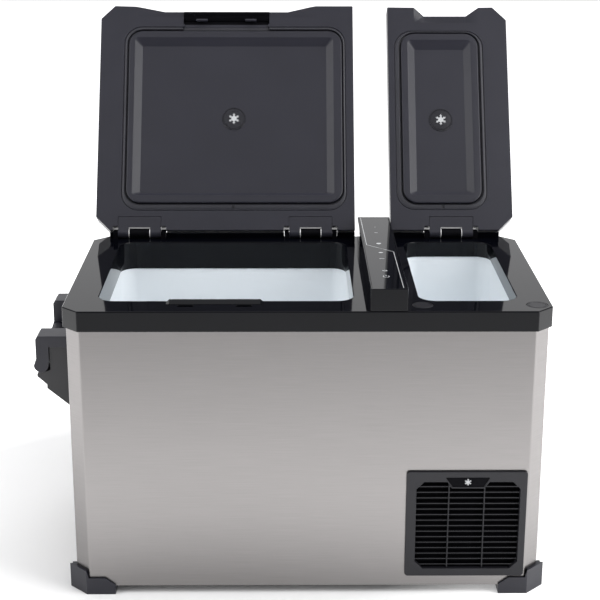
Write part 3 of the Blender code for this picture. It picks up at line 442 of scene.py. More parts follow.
def keep(slot, names, width):
    """Keeps CAD nodes, with a finished material and edges softened by a width in millimetres."""
    for name in names:
        node = NODES[name]
        node.data.materials.clear()
        node.data.materials.append(M[slot])
        if width:
            soft = node.modifiers.new("soft_edges", "BEVEL")
            soft.width = width * MM
            soft.segments = 2
            soft.limit_method = "ANGLE"
            soft.angle_limit = radians(40)
            soft.harden_normals = True


# ---------------------------------------------------------------- cabinet


def merge(name, objects):
    """Several closed shapes that stay clear of each other as one piece."""
    bm = bmesh.new()
    for obj in objects:
        bm.from_mesh(obj.data)
        bpy.data.objects.remove(obj)
    return new_object(name, bm)


def screw_head(axis, centre, face, sign, radius, tall):
    """A domed head with a dimple. Its radius shrinks as it rises from the face."""
    steps = ((1, 0), (1, 0.25), (0.86, 0.7), (0.55, 0.95), (0.42, 1), (0.38, 0.55))
    profile = [(radius * wide, face + sign * tall * high) for wide, high in steps]
    return lathe("screw_head", axis, centre, profile, 20)


def make_wrap():
    """The steel wrap, with rolled corners, a hem along the bottom and its windows."""
    outer = fillet(chamfered(INSET), 0.005, 4)
    inner = fillet(chamfered(INSET + STEEL), 0.004, 4)
    wrap = plate("steel_wrap", [outer, inner], STEEL_BOTTOM, STEEL_TOP)
    fold = fillet(chamfered(0.014), 0.003, 4)
    hem = plate("hem", [outer, fold], STEEL_BOTTOM, STEEL_BOTTOM + STEEL)
    x0, x1, z0, z1 = grow(MOUTH, 0.004)
    windows = [blocks("window", [((x0, -0.01, z0), (x1, 0.01, z1))])]
    for rect, margin in ((EXHAUST, -0.012), (POWER, -0.006), (RECESS, 0.0025)):
        y0, y1, z0, z1 = grow(rect, margin)
        windows.append(blocks("window", [((WALL_X - 0.005, y0, z0), (WALL_X + 0.005, y1, z1))]))
    join(wrap, hem)
    finish(cut(wrap, *windows), "cabinet", "brushed_steel", "cabinet_shell")


def make_wrap_fixings():
    """The strip that covers the wrap's seam at the back, and the screws round the wrap."""
    back = DEPTH - INSET
    strip = fillet([(-0.009, 0.016), (0.009, 0.016), (0.009, 0.4065), (-0.009, 0.4065)], 0.001)
    seam = plate("back_seam", [strip], back - 0.0002, back + 0.0009, "Y", 0.0004, 2)
    finish(seam, "cabinet", "brushed_steel")
    places = [(x, SCREW_ROW) for x in (-0.27, -0.09, 0.09, 0.27)]
    heads = [screw_head("Y", place, back - 0.0002, 1, 0.0035, 0.0016) for place in places]
    heads += [screw_head("Y", (0.0, z), back + 0.0005, 1, 0.0026, 0.0013) for z in (0.10, 0.21, 0.32)]
    finish(merge("back_screws", heads), "cabinet", "bare_steel")
    left_end = -(WALL_X - 0.0002)
    heads = [screw_head("X", (y, SCREW_ROW), left_end, -1, 0.0032, 0.0014) for y in (0.10, 0.20, 0.30)]
    finish(merge("end_screws", heads), "cabinet", "bare_steel")


def make_rim():
    """The glossy deck with its skirt and the collars that line the wells, all edges rounded."""
    slots = []
    for x in HOOK_X:
        slots.append(fillet(rectangle((x - SLOT_HALF, x + SLOT_HALF, *SLOT_Y)), 0.001))
    wells = [rectangle(well, WELL_RADIUS, 12) for well, _ in COLLARS]
    outline = fillet(chamfered(0), 0.0025, 3)
    inside = RIM_TOP - 0.002
    rim = plate("rim_deck", [outline, *wells, *slots], RIM_TOP - 0.004, RIM_TOP, edge=0.0013)
    skirt_ring = [outline, fillet(chamfered(0.003), 0.0015, 3)]
    join(rim, plate("skirt", skirt_ring, RIM_TOP - RIM_HEIGHT, inside, edge=0.0006, segments=2))
    for well, drop in COLLARS:
        outer = rectangle(grow(well, 0.003), WELL_RADIUS + 0.003, 12)
        ring = [outer, rectangle(well, WELL_RADIUS, 12)]
        join(rim, plate("collar", ring, RIM_TOP - drop, inside, edge=0.0005, segments=2))
    for _, place in MAGNETS:
        cut(rim, rod("seat", "Z", place, RIM_TOP - 0.0023, RIM_TOP + 0.01, 0.0154, steps=48))
    finish(rim, "cabinet", "gloss_black", "top_rim")


def make_magnet_discs():
    """The caps over the magnets, each with a shallow ring round its face."""
    dip = RIM_TOP - 0.0005
    profile = [
        (0.0148, RIM_TOP - 0.002), (0.0148, RIM_TOP - 0.0003), (0.0143, RIM_TOP), (0.0128, RIM_TOP),
        (0.0125, dip), (0.0120, dip), (0.0117, RIM_TOP), (0.002, RIM_TOP),
    ]
    for side, place in MAGNETS:
        disc = lathe("magnet_disc_" + side, "Z", place, profile, 56)
        finish(disc, "cabinet", "deep_black", "magnet_cap_" + side)


def make_ledge():
    """The low upstand behind the lids, in the stretches between the hinges."""
    front, back, foot = 0.3986, DEPTH, RIM_TOP - 0.0005
    profile = [
        (front, foot), (back, foot), (back, 0.4424), (0.4060, 0.4430), (0.3992, 0.4465), (front, 0.4462),
    ]
    stretches = (
        (-0.3200, -0.3141), (-0.2274, -0.0338), (0.0532, 0.0825), (0.1420, 0.1966), (0.2844, 0.3200),
    )
    parts = [plate("stretch", [profile], x0, x1, "X") for x0, x1 in stretches]
    finish(merge("rear_ledge", parts), "cabinet", "gloss_black")


def make_keeper():
    """The ramp that the hooks ride down, its ends slanting in as it rises."""
    x0, x1, y0, y1 = KEEPER
    base, high, slant = RIM_TOP + GAP, RIM_TOP + 0.0043, 0.0042
    rings = []
    for x, top in ((x0, base + 0.0003), (x0 + slant, high), (x1 - slant, high), (x1, base + 0.0003)):
        rings.append([
            (x, y0, base), (x, y1, base), (x, y1, top), (x, y1 - 0.0006, top),
            (x, y0 + 0.0004, base + 0.0002),
        ])
    finish(loft("keeper_ramp", rings), "cabinet", "gloss_black", "latch_keeper", smooth=20)


def make_liner(name, well, collar, floor):
    """A moulded tub with coved corners, hung just below its collar."""
    inside = grow(well, LINER_STEP)
    top = RIM_TOP - collar - GAP
    outside = rectangle(grow(inside, LINER), WELL_RADIUS + LINER + LINER_STEP, 12)
    tub = plate(name, [outside], floor - LINER, top)
    hollow = plate("hollow", [rectangle(inside, WELL_RADIUS + LINER_STEP, 12)], floor, top + 0.03,
                   edge=0.012, segments=5)
    return cut(tub, hollow)


def make_liners():
    names = ("liner_main", "liner_small")
    for name, (well, collar), floor in zip(names, COLLARS, (MAIN_FLOOR, SMALL_FLOOR)):
        finish(make_liner(name + "_tub", well, collar, floor), "cabinet", "liner_white", name)
    steps = (
        (0.0130, 0), (0.0130, 0.0012), (0.0122, 0.0020), (0.0100, 0.0020), (0.0096, 0.0013),
        (0.0045, 0.0013), (0.0040, 0.0032), (0.0030, 0.0036),
    )
    profile = [(radius, MAIN_FLOOR + rise) for radius, rise in steps]
    finish(lathe("drain_plug", "Z", (-0.262, 0.087), profile, 40), "cabinet", "washer_white")


def make_console():
    """The raised bar between the lids, with the touch panel let into its top."""
    x0, x1 = CONSOLE_X
    base = RIM_TOP + GAP
    body = plate("console_body", [fillet(rectangle((x0, x1, 0, DEPTH)), 0.0012)], base, LID_TOP, edge=0.0009)
    wall = 0.003
    hollow = ((x0 + wall, wall, base - 0.01), (x1 - wall, DEPTH - wall, LID_TOP - 0.005))
    seat = ((x0 + 0.002, 0.004, LID_TOP - 0.002), (x1 - 0.002, 0.4025, LID_TOP + 0.01))
    cut(body, blocks("hollow", [hollow]), blocks("seat", [seat]))
    finish(body, "cabinet", "gloss_black", "console_housing")
    outline = fillet(rectangle((x0 + 0.0023, x1 - 0.0023, 0.0043, 0.4022)), 0.0008)
    panel = plate("touch_panel", [outline], LID_TOP - 0.0017, PANEL_TOP, edge=0.0004)
    finish(panel, "cabinet", "gloss_black", "control_panel")


def make_console_print():
    """The thin line that bends across the panel, and its small plain symbols."""
    low, high = PANEL_TOP - 0.0001, PANEL_TOP + 0.00012
    path = [(0.0914, 0.399), (0.0929, 0.2327), (0.1315, 0.1932), (0.1327, 0.0062)]
    line = plate("console_line", [ribbon(path, 0.0009)], low, high)
    finish(line, "cabinet", "gloss_black", material="print_grey")
    x = 0.1120
    icons = [
        arc((x, 0.3405), 0.0010, 0, 330, 11),
        rectangle((x - 0.0030, x + 0.0024, 0.3045, 0.3062)),
        oval((x, 0.2403), 0.0036, 0.0042),
        oval((x, 0.1887), 0.0034, 0.0026),
        rectangle((x - 0.0040, x + 0.0032, 0.1545, 0.1560)),
        oval((x, 0.0914), 0.0036, 0.0028),
        oval((x, 0.0914), 0.0024, 0.0016),
        arc((x, 0.0620), 0.0048, 125, 415, 20) + arc((x, 0.0620), 0.0038, 415, 125, 20),
        rectangle((x - 0.0006, x + 0.0006, 0.0635, 0.0690)),
    ]
    finish(plate("console_icons", icons, low, high), "cabinet", "gloss_black", material="print_grey")


def oval(centre, wide, deep, steps=20):
    turns = [2 * pi * i / steps for i in range(steps)]
    return [(centre[0] + wide * cos(a), centre[1] + deep * sin(a)) for a in turns]


def ribbon(path, width):
    """The outline of a line of this width along a path."""
    sides = ([], [])
    for i, place in enumerate(path):
        here = Vector(place)
        before = here - Vector(path[i - 1]) if i else Vector(path[1]) - here
        after = Vector(path[i + 1]) - here if i + 1 < len(path) else before
        along = (before.normalized() + after.normalized()).normalized()
        spread = width / 2 / max(0.3, along.dot(before.normalized()))
        across = Vector((-along.y, along.x)) * spread
        sides[0].append(tuple(here + across))
        sides[1].append(tuple(here - across))
    return sides[0] + sides[1][::-1]


def snowflake(centre, size, thick):
    """A plain six-armed snowflake, a general sign for cooling."""
    side = [(0.52, 1), (0.76, 3.6), (0.88, 3.0), (0.70, 1), (1.0, 1)]
    path = [(r * size, -w * thick) for r, w in side] + [(r * size, w * thick) for r, w in side[::-1]]
    points = []
    for arm in range(6):
        turn = radians(60 * arm + 90)
        along = Vector((cos(turn), sin(turn)))
        across = Vector((-along.y, along.x))
        points += [tuple(Vector(centre) + along * r + across * w) for r, w in path]
    return points


# ---------------------------------------------------------------- grilles and inlets


def louvre(name, axis, rect, mouth, bump_out, face, inward, depth, first, pitch, ribs):
    """A frame with a chamfered mouth, slanting blades set back in it and thin upright ribs.

    The frame's outer face is at face, and inward is 1 or -1, the way into the cabinet.
    """
    m0, m1, n0, n1 = mouth
    c = MOUTH_CORNER
    outline = [(m0 + c, n0), (m1 - c, n0), (m1, n0 + c), (m1, n1 - c), (m1 - c, n1)]
    outline += bump_out + [(m0 + c, n1), (m0, n1 - c), (m0, n0 + c)]
    outline = fillet(outline, 0.0012)

    def between(near, far):
        return sorted((face + inward * near, face + inward * far))

    border = fillet(rectangle(rect), 0.005, 5)
    grille = plate(name, [border, outline], *between(0, 0.0037), axis, 0.0010)
    sleeve = fillet(rectangle(grow(mouth, 0.0028)), 0.002)
    join(grille, plate("sleeve", [sleeve, outline], *between(0.003, depth), axis))
    front, back = face + inward * 0.0035, face + inward * (depth - 0.0015)
    across = "X" if axis == "Y" else "Y"
    blades = []
    for row in range(BLADES):
        top = first - row * pitch
        profile = [(front, top), (back, top - 0.0022), (back, top - 0.0031), (front, top - 0.0012)]
        corner = 0.0 if n0 + c < top < n1 - c else c - min(abs(top - n0), abs(n1 - top))
        end = max(corner, 0) - 0.0015
        blades.append(plate("blade", [profile], m0 + end, m1 - end, across))
    a, b = between(0.0030, depth - 0.0008)
    half = 0.0007
    boxes = []
    for u in ribs:
        if axis == "Y":
            boxes.append(((u - half, a, n0 - 0.001), (u + half, b, n1 + 0.001)))
        else:
            boxes.append(((a, u - half, n0 - 0.001), (b, u + half, n1 + 0.001)))
    return join(grille, *blades, blocks("ribs", boxes))


def make_intake():
    """The front grille with its plaque, and a dark sheet behind its blades that is painted shade for the dark
    inside.
    """
    bump_out = [(0.2630, 0.179), (0.2560, 0.1690), (0.2088, 0.1690), (0.2018, 0.179)]
    grille = louvre(
        "intake_louvre", "Y", INTAKE, MOUTH, bump_out, face=0.0, inward=1, depth=0.0095,
        first=0.1713, pitch=0.00886, ribs=(0.2052, 0.2567),
    )
    # A solid matt black sheet behind the blades, painted shade that stands for the dark inside of the
    # cabinet.
    intake_dark_sheet = plate("intake_shade_sheet", [rectangle(grow(MOUTH, SHADE_SHEET_LAP))], 0.0105, 0.0116, "Y")
    finish(intake_dark_sheet, "cabinet", "satin_charcoal", material="matt_black")
    outline = [(0.2092, 0.1711), (0.2555, 0.1711), (0.2641, 0.1865), (0.1986, 0.1865)]
    seat = plate("plaque_seat", [fillet(outline, 0.0010)], -0.002, 0.0012, "Y")
    finish(cut(grille, seat), "cabinet", "satin_charcoal", "intake_grille", material="deep_black")
    inner = [(0.2099, 0.1717), (0.2548, 0.1717), (0.2630, 0.1859), (0.1997, 0.1859)]
    plaque = plate("blank_plaque", [fillet(inner, 0.0008)], 0.0004, 0.0016, "Y", 0.0003, 2)
    finish(plaque, "cabinet", "gloss_black", "grille_plaque", material="matt_black")
    mark = plate("plaque_mark", [snowflake((0.2318, 0.1791), 0.0052, 0.0004)], 0.0002, 0.0006, "Y")
    finish(mark, "cabinet", "gloss_black", material="print_grey")


def make_exhaust():
    """The grille on the right end with its four screws, and a dark sheet behind its blades that is painted
    shade for the dark inside.
    """
    mouth = grow(EXHAUST, -0.014)
    pitch = (mouth[3] - mouth[2]) / (BLADES + 0.2)
    grille = louvre(
        "exhaust_louvre", "X", EXHAUST, mouth, [], face=OUTSIDE + 0.0034, inward=-1, depth=0.0085,
        first=mouth[3] - 0.0075, pitch=pitch, ribs=(0.135, 0.210),
    )
    finish(grille, "cabinet", "satin_charcoal", "exhaust_grille", material="deep_black")
    # A solid matt black sheet behind the blades, painted shade for the dark inside.
    sheet = rectangle(grow(mouth, SHADE_SHEET_LAP))
    exhaust_dark_sheet = plate("exhaust_shade_sheet", [sheet], OUTSIDE - 0.0075, OUTSIDE - 0.0064, "X")
    finish(exhaust_dark_sheet, "cabinet", "satin_charcoal", material="matt_black")
    heads = [screw_head("X", place, OUTSIDE + 0.0030, 1, 0.0028, 0.0006) for place in corners(EXHAUST, 0.007)]
    finish(merge("exhaust_screws", heads), "cabinet", "bare_steel")


def corners(rect, inset):
    y0, y1, z0, z1 = grow(rect, -inset)
    return [(y, z) for y in (y0, y1) for z in (z0, z1)]


def make_recess():
    """The recessed grip, a flanged cup let into the right end."""
    flange = plate("recessed_cup", [fillet(rectangle(grow(RECESS, 0.008)), 0.008, 6)], OUTSIDE,
                   OUTSIDE + 0.0030, "X", 0.0010)
    body = plate("cup", [fillet(rectangle(grow(RECESS, 0.0020)), 0.004, 3)], WALL_X - 0.0215,
                 OUTSIDE + 0.001, "X")
    hollow = plate("hollow", [fillet(rectangle(RECESS), 0.004, 4)], WALL_X - 0.0195, WALL_X + 0.02, "X",
                   0.0035, 4)
    join(flange, body)
    finish(cut(flange, hollow), "cabinet", "satin_charcoal", "recessed_grip")


def make_power():
    """The inlet plate with its four screws, and a contact or pins in each inlet."""
    y = (POWER[0] + POWER[1]) / 2
    face = OUTSIDE + 0.0018
    ac_opening = rectangle((y - 0.015, y + 0.015, 0.108, 0.132))
    dc_opening = arc((y, DC_Z), 0.0125, 0, 350, 35)
    panel = plate("inlet_plate", [fillet(rectangle(POWER), 0.006, 5), ac_opening, dc_opening],
                  OUTSIDE, face, "X", 0.0006, 2)
    fuse_cap = HALF - 0.0006
    holder = lathe("holder", "X", (y, 0.088), [
        (0.0072, WALL_X - 0.012), (0.0072, face + 0.0002), (0.0066, fuse_cap), (0.0050, fuse_cap),
        (0.0046, HALF - 0.0010)], 40)
    join(panel, holder)
    coin_slot = blocks("slot", [((HALF - 0.0022, y - 0.004, 0.0873), (HALF + 0.01, y + 0.004, 0.0887))])
    finish(cut(panel, coin_slot), "cabinet", "deep_black", "power_panel")
    heads = [screw_head("X", place, face - 0.0003, 1, 0.0026, 0.0012) for place in corners(POWER, 0.007)]
    finish(merge("plate_screws", heads), "cabinet", "bare_steel")
    pins = []
    for across in (y - 0.006, y + 0.006):
        blade = fillet(rectangle((across - 0.0022, across + 0.0022, 0.1190, 0.1210)), 0.0008)
        pins.append(plate("pin", [blade], WALL_X - 0.0172, WALL_X - 0.006, "X", 0.0003, 2))
    pins.append(rod("pin", "X", (y, DC_Z), WALL_X - 0.0192, WALL_X - 0.006, 0.0020, steps=20))
    finish(merge("inlet_contacts", pins), "cabinet", "bare_steel")


# ---------------------------------------------------------------- lids


def lid_outline(lid):
    """The lid's plan: two chamfered outer corners, a finger notch in front, a notch at each hinge."""
    back = AXIS_Y - 0.003
    front = AXIS_Y - lid["far"]
    notch = [(x, AXIS_Y - far) for x, far in lid["notch"]]
    rear = []
    for x0, x1 in lid["hinges"]:
        deep = AXIS_Y - 0.0095
        rear += [(x0 - 0.009, back), (x0 - 0.009, deep), (x1 + 0.009, deep), (x1 + 0.009, back)]
    outer = lid["x0"] if lid["outer"] < 0 else lid["x1"]
    inward = outer - lid["outer"] * CORNER
    ends = [(inward, back), (outer, back - CORNER), (outer, front + CORNER), (inward, front)]
    if lid["outer"] < 0:
        return ends + notch + [(lid["x1"], front), (lid["x1"], back)] + rear[::-1]
    return [(lid["x0"], back), (lid["x0"], front)] + notch + ends[::-1] + rear[::-1]


def lid_hollows(lid):
    """What is cut from below a lid: its seal pocket, finger scoop, hinge seats and the latch's rooms."""
    below = LID_BOTTOM - 0.01
    pocket = plate("pocket", [rectangle(forward(lid["seal"]), 0.030, 12)], below, LID_TOP - 0.0045)
    ceiling = LID_BOTTOM + lid["scoop"]
    (a, _), (b, _), (c, _), (d, _) = lid["notch"]
    steps = [(a, below), (a, LID_BOTTOM), (b, ceiling), (c, ceiling), (d, LID_BOTTOM), (d, below)]
    tools = [pocket, plate("scoop", [steps], -0.01, lid["scoop_y"], "Y")]
    room = 0.0007
    for x0, x1 in lid["hinges"]:
        seat = ((x0 - room, AXIS_Y - LEAF_FAR - room, below), (x1 + room, AXIS_Y, LEAF_ROOM))
        tools.append(blocks("leaf_seat", [seat]))
    if lid is LEFT:
        x0, x1 = LATCH_X
        latch_room = ((x0 - 0.0012, 0.0, below), (x1 + 0.0012, 0.0322, LID_BOTTOM + 0.0058))
        tools.append(blocks("latch_room", [latch_room]))
        keeper_room = ((-0.202, 0.031, below), (-0.0605, 0.0453, KEEPER_ROOM_TOP))
        tools.append(blocks("keeper_room", [keeper_room]))
    return tools


def make_lid_skin(lid):
    """The lid's outer moulding, with a framed and grooved top."""
    name = lid["name"]
    shell = plate(name + "_skin", [fillet(lid_outline(lid), 0.0012, 2)], LID_BOTTOM, LID_TOP, edge=0.0012)
    cut(shell, *lid_hollows(lid))
    front = AXIS_Y - lid["far"]
    field = (lid["x0"] + 0.034, lid["x1"] - 0.034, front + 0.045, AXIS_Y - 0.046)
    rings = [fillet(rectangle(grow(field, g)), 0.012 + g, 6) for g in (0.0012, 0.0012, -0.0008)]
    heights = (LID_TOP + 0.01, LID_TOP, LID_TOP - 0.0012)
    top_field = loft("top_field", [level(ring, z) for ring, z in zip(rings, heights)])
    x0, x1, y0, y1 = field
    grooves = [
        ((x0 + 0.012, y, LID_TOP - 0.0018), (x1 - 0.012, y + 0.0016, LID_TOP))
        for y in (y0 + 0.030, y0 + 0.036, y1 - 0.0376, y1 - 0.0316)
    ]
    cut(shell, top_field)
    cut(shell, blocks("field_grooves", grooves))
    finish(shell, name, "satin_charcoal", name + "_shell", name + "_foam")


def make_lid_liner(lid):
    """The inner panel: a rounded face whose tray slopes in to a flat floor."""
    panel = forward(lid["panel"])
    rim, tray = forward(lid["rim"]), forward(lid["tray"])
    face = LID_BOTTOM
    corner, lip = 0.024, 0.0022

    def ring(inset, z):
        return level(rectangle(grow(panel, -inset), corner - inset, 10), z)

    def between(t, z, radius):
        rect = tuple(a + (b - a) * t for a, b in zip(rim, tray))
        return level(rectangle(rect, radius, 10), z)

    rings = [ring(0, face + 0.0077), ring(0, face + lip)]
    for degrees in (30, 60, 90):
        a = radians(degrees)
        rings.append(ring(lip * (1 - cos(a)), face + lip * (1 - sin(a))))
    rings += [
        between(-0.06, face, 0.0060),
        between(0.01, face + 0.00015, 0.0056),
        between(0.06, face + 0.0006, 0.0052),
        between(0.90, TRAY_FLOOR - 0.0007, 0.0030),
        between(0.95, TRAY_FLOOR - 0.0002, 0.0027),
        between(1.02, TRAY_FLOOR, 0.0024),
    ]
    name = lid["name"]
    finish(loft(name + "_liner", rings), name, "satin_charcoal", name + "_panel")


def make_lid_seal(lid):
    """The lip seal in its groove, one closed profile carried from the outer to the inner outline."""
    name = lid["name"]
    outer = rectangle(grow(forward(lid["seal"]), -0.0004), 0.0296, 12)
    inner = rectangle(grow(forward(lid["panel"]), 0.0005), 0.0245, 12)
    profile = [
        (0.00, 0.0076), (0.00, 0.0010), (0.04, 0.0003), (0.10, 0.0000), (0.16, 0.0006), (0.22, 0.0002),
        (0.55, -0.0003), (0.66, 0.0000), (0.72, 0.0012), (0.74, 0.0052), (0.98, 0.0056), (1.00, 0.0076),
    ]
    rings = []
    for t, rise in profile:
        line = [(a[0] + (b[0] - a[0]) * t, a[1] + (b[1] - a[1]) * t) for a, b in zip(outer, inner)]
        rings.append(level(line, LID_BOTTOM + rise))
    seal = loft(name + "_seal", rings, closed=True)
    x = lid["badge"][0]
    near = AXIS_Y - lid["seal"][2]
    low = (x - 0.0024, near - 0.0150, LID_BOTTOM - 0.001)
    joint = (low, (x + 0.0024, near - 0.0030, LID_BOTTOM + 0.0045))
    tools = [blocks("joint", [joint])]
    if lid is LEFT:
        tools.append(blocks("relief", [((-0.204, 0, 0.4), (-0.0585, 0.0465, KEEPER_ROOM_TOP))]))
    finish(cut(seal, *tools), name, "rubber_black", name + "_gasket")


def make_lid_badge(lid):
    """The roundel on the tray's floor, with its raised rings and a plain sign."""
    name = lid["name"]
    x, far = lid["badge"]
    place = (x, AXIS_Y - far)
    steps = (
        (0.0196, 0.0010), (0.0196, -0.0006), (0.0190, -0.0012), (0.0182, -0.0012), (0.0178, -0.0006),
        (0.0172, -0.0006), (0.0168, -0.0012), (0.0120, -0.0016), (0.0060, -0.0018), (0.0010, -0.0018),
    )
    profile = [(radius, TRAY_FLOOR + rise) for radius, rise in steps]
    finish(lathe(name + "_roundel", "Z", place, profile, 64), name, "badge_grey", name + "_badge")
    sign = snowflake(place, 0.0092, 0.0006)
    mark = plate(name + "_mark", [sign], TRAY_FLOOR - 0.0021, TRAY_FLOOR - 0.0014)
    finish(mark, name, "badge_grey", material="print_grey")


def make_latch():
    """The ribbed finger pad, its two hooks, and a dark sheet over the pad that is painted shade for the
    latch's room.
    """
    y0, y1 = LATCH_Y
    x0, x1 = LATCH_X
    top = LID_BOTTOM + 0.0050
    valley, crest = LID_BOTTOM + 0.0012, LID_BOTTOM + 0.0001
    ridges = 6
    pitch = (y1 - y0 - 0.0012) / ridges
    profile = []
    for i in range(ridges):
        y = y0 + 0.0004 + i * pitch
        for share, z in ((0, valley), (0.22, crest), (0.62, crest), (0.80, valley)):
            profile.append((y + share * pitch, z))
    profile += [(y1, valley), (y1, top), (y0, top)]
    pad = plate("latch_slider", [profile], x0, x1, "X")
    front, toe, shank = AXIS_Y - 0.3712, AXIS_Y - 0.3680, AXIS_Y - 0.3690
    shape = [
        (front, RIM_TOP - 0.0028), (toe, RIM_TOP - 0.0028), (toe, RIM_TOP - 0.0010), (shank, RIM_TOP),
        (shank, top - 0.0005), (front, top - 0.0005),
    ]
    hooks = [plate("hook", [fillet(shape, 0.0004, 2)], x - HOOK_HALF, x + HOOK_HALF, "X") for x in HOOK_X]
    finish(pad, "latch", "deep_black", "latch_pad", material="matt_black", smooth=25)
    finish(merge("latch_hooks", hooks), "latch", "deep_black", material="satin_charcoal", smooth=25)
    # A thin matt black sheet just under the ceiling of the latch's room, painted shade for that room.
    latch_dark_sheet = plate("latch_shade_sheet", [rectangle((x0 - 0.0011, x1 + 0.0011, 0.0085, 0.0321))], LID_BOTTOM + 0.0052,
                LID_BOTTOM + 0.0056)
    finish(latch_dark_sheet, "left_lid", "deep_black", material="matt_black")


# ---------------------------------------------------------------- handle


def make_handle_arms():
    """The two arms of the swinging handle and the bar between them."""
    x_pivot, z_pivot = ARM_PIVOT
    x_grip, z_grip = GRIP_AXIS
    boss, grip_boss = 0.0085, 0.0108
    inner, outer = -0.378, -0.397
    top = z_pivot + boss
    outline = [
        *arc(ARM_PIVOT, boss, 90, -90, 14),
        (inner, z_pivot - boss),
        (inner, z_grip + grip_boss / 2),
        *arc(GRIP_AXIS, grip_boss, 0, -180, 16),
        (outer, z_grip + grip_boss),
        (outer, top - 0.005),
        (outer + 0.0035, top),
    ]
    (front0, front1), (rear0, rear1) = ARMS_Y
    arms = plate("handle_arms", [outline], front0, front1, "Y", 0.0009, 2)
    rear = plate("rear_arm", [outline], rear0, rear1, "Y", 0.0009, 2)
    join(arms, rear, rod("bar", "Y", GRIP_AXIS, front1 - 0.01, rear0 + 0.01, 0.006))
    pivot = rod("pivot_hole", "Y", ARM_PIVOT, front0 + 0.0027, rear1 - 0.0027, 0.0028, 0.0, 24)
    finish(cut(arms, pivot), "handle", "satin_charcoal", "handle_bail")


def make_handle_sleeve():
    """The grip's rubber sleeve, grooved round between two plain ends."""
    low, high = ARMS_Y[0][1] + GAP, ARMS_Y[1][0] - GAP
    bore, groove, full = 0.0064, 0.0092, 0.0100
    plain, count = 0.008, 22
    pitch = (high - low - 2 * plain) / count
    profile = [(bore, low), (groove, low), (full, low + 0.0008), (full, low + plain)]
    for i in range(count):
        at = low + plain + i * pitch
        for radius, share in ((full, 0.15), (groove, 0.32), (groove, 0.68), (full, 0.85)):
            profile.append((radius, at + share * pitch))
    profile += [(full, high - 0.0008), (groove, high), (bore, high)]
    rings = []
    for radius, along in profile:
        circle = [(x, y, along) for x, y in oval(GRIP_AXIS, radius, radius, 40)]
        rings.append([ALONG["Y"] @ Vector(point) for point in circle])
    finish(loft("handle_sleeve", rings, closed=True), "handle", "rubber_black", "handle_grip")


# ---------------------------------------------------------------- pieces kept from the CAD


HINGES = ("hinge_left", "hinge_middle", "hinge_right")
WASHERS = ["%s_washer_%s" % (hinge, side) for hinge in HINGES for side in ("left", "right")]
FEET = ["foot_%s_%s" % (end, side) for end in ("front", "back") for side in ("left", "right")]

# Each row is a material, the width of the softened edges in millimetres, and the nodes.
KEPT = (
    ("satin_charcoal", 0.8, FEET),
    ("machine_plastic", 0.6, ["handle_base"]),
    ("matt_black", 0.35, [hinge + "_base" for hinge in HINGES]),
    ("satin_charcoal", 0.35, [hinge + "_leaf" for hinge in HINGES]),
    ("washer_white", 0.15, WASHERS),
    ("bare_steel", 0.2, ["handle_rod"] + [hinge + "_pin" for hinge in HINGES]),
    ("bare_steel", 0.3, ["base_pan", "compressor_tray"]),
    ("machine_black", 0.4, ["dc_socket", "ac_inlet", "fan_frame"]),
    # The condenser gets machine black in place of bare aluminium: painted shade, so that it reads dark behind
    # the intake grille.
    ("machine_black", 0, ["compressor", "fan_rotor", "condenser"]),
    ("copper", 0, ["evaporator_main", "evaporator_small"]),
    ("foam", 0, ["foam_insulation"]),
    ("board_green", 0.3, ["control_board"]),
)


# ---------------------------------------------------------------- stage, lights and camera


def make_floor_material():
    """A pale floor with painted light: it glows a little more with distance from a point left of the middle
    and less far out in front, so it is painted darker near the object and on its left as a soft shadow.
    """
    material, tree, shader = new_material("studio_floor", (0.90, 0.90, 0.90), 0.85)
    shader.inputs["Specular IOR Level"].default_value = 0.1
    shader.inputs["Emission Color"].default_value = (1, 1, 1, 1)
    place = tree.nodes.new("ShaderNodeTexCoord")
    stretched = tree.nodes.new("ShaderNodeVectorMath")
    stretched.operation = "MULTIPLY"
    stretched.inputs[1].default_value = (1, 1.35, 1)
    tree.links.new(place.outputs["Object"], stretched.inputs[0])
    # The glow is measured from a point left of the middle, so the floor left of the cabinet keeps a painted
    # shadow.
    far = tree.nodes.new("ShaderNodeVectorMath")
    far.operation = "DISTANCE"
    far.inputs[1].default_value = (-0.15, 0, 0)
    tree.links.new(stretched.outputs["Vector"], far.inputs[0])
    split = tree.nodes.new("ShaderNodeSeparateXYZ")
    tree.links.new(place.outputs["Object"], split.inputs["Vector"])
    painted_glow = tree.nodes.new("ShaderNodeMath")
    painted_glow.operation = "MULTIPLY"
    tree.links.new(ramp(tree, far.outputs["Value"], 0.0, 0.9, 0.48, 0.85), painted_glow.inputs[0])
    tree.links.new(ramp(tree, split.outputs["Y"], 0.0, 1.0, -1.5, -0.7), painted_glow.inputs[1])
    tree.links.new(painted_glow.outputs["Value"], shader.inputs["Emission Strength"])
    shade = ramp(tree, noise(tree, 3, 2), (0.89, 0.89, 0.89), (0.91, 0.91, 0.91))
    tree.links.new(shade, shader.inputs["Base Color"])
    return material


def make_stage():
    bm = bmesh.new()
    bmesh.ops.create_grid(bm, x_segments=8, y_segments=8, size=8)
    floor = new_object("studio_floor", bm)
    floor.data.materials.append(make_floor_material())
    floor.location = (0, 0, -0.0002)


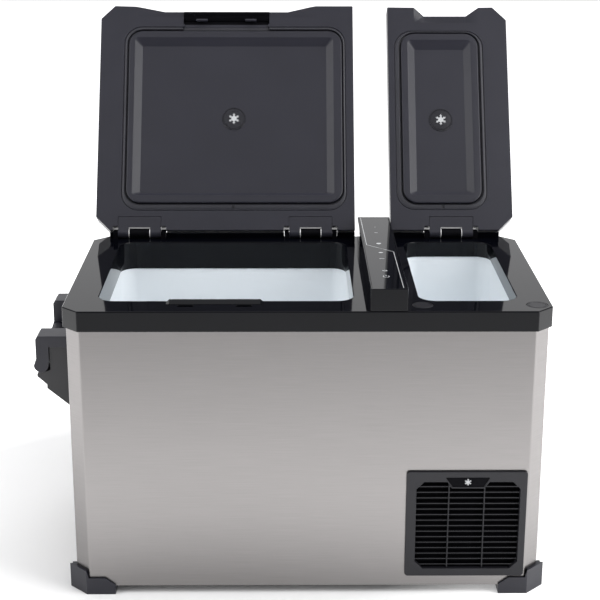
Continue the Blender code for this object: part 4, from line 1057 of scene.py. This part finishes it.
def make_world():
    """A studio that is dark in front, light behind and half light above."""
    world = bpy.data.worlds.new("studio")
    SCENE.world = world
    world.use_nodes = True
    tree = world.node_tree
    place = tree.nodes.new("ShaderNodeTexCoord")
    split = tree.nodes.new("ShaderNodeSeparateXYZ")
    tree.links.new(place.outputs["Generated"], split.inputs["Vector"])
    front_to_back = ramp(tree, split.outputs["Y"], (0.07, 0.07, 0.075), (0.86, 0.86, 0.87), -0.15, 0.75)
    up = ramp(tree, split.outputs["Z"], (0.0, 0.0, 0.0), (1.0, 1.0, 1.0), 0.45, 0.85)
    sky = tree.nodes.new("ShaderNodeMix")
    sky.data_type = "RGBA"
    sky.inputs["B"].default_value = (0.55, 0.55, 0.56, 1)
    tree.links.new(up, sky.inputs["Factor"])
    tree.links.new(front_to_back, sky.inputs["A"])
    tree.links.new(sky.outputs["Result"], tree.nodes["Background"].inputs["Color"])


def softbox(name, place, size, power):
    """An area light that points at the middle of the object."""
    lamp = bpy.data.lights.new(name, "AREA")
    lamp.shape = "RECTANGLE"
    lamp.size, lamp.size_y = size
    lamp.energy = power
    obj = bpy.data.objects.new(name, lamp)
    obj.location = place
    middle = Vector((0, 0, 0.45))
    obj.rotation_euler = (middle - Vector(place)).to_track_quat("-Z", "Y").to_euler()
    SCENE.collection.objects.link(obj)
    return obj


def make_lights():
    softbox("left_softbox", (-2.0, -1.1, 1.55), (1.5, 2.8), 36)
    softbox("right_softbox", (2.0, -1.1, 1.55), (1.5, 2.8), 66)
    softbox("front_softbox", (0.0, -1.7, 2.15), (2.2, 1.0), 3)
    overhead = softbox("overhead_softbox", (0.0, 0.25, 2.5), (1.8, 1.2), 34)
    overhead.visible_glossy = False
    SCENE.view_settings.view_transform = "Standard"


def make_camera():
    camera = bpy.data.cameras.new("camera")
    camera.lens = 88.32
    camera.sensor_width = 36
    obj = bpy.data.objects.new("camera", camera)
    obj.location = ORIGIN + Vector((-0.02909, -1.94467, 1.06412))
    obj.rotation_euler = (1.267166, -0.001813, -0.008642)
    SCENE.collection.objects.link(obj)
    SCENE.camera = obj


# ---------------------------------------------------------------- the whole scene


make_wrap()
make_wrap_fixings()
make_rim()
make_magnet_discs()
make_ledge()
make_keeper()
make_liners()
make_console()
make_console_print()
make_intake()
make_exhaust()
make_recess()
make_power()
for lid in (LEFT, RIGHT):
    make_lid_skin(lid)
    make_lid_liner(lid)
    make_lid_seal(lid)
    make_lid_badge(lid)
make_latch()
make_handle_arms()
make_handle_sleeve()
for slot, width, names in KEPT:
    keep(slot, names, width)
make_stage()
make_world()
make_lights()
make_camera()
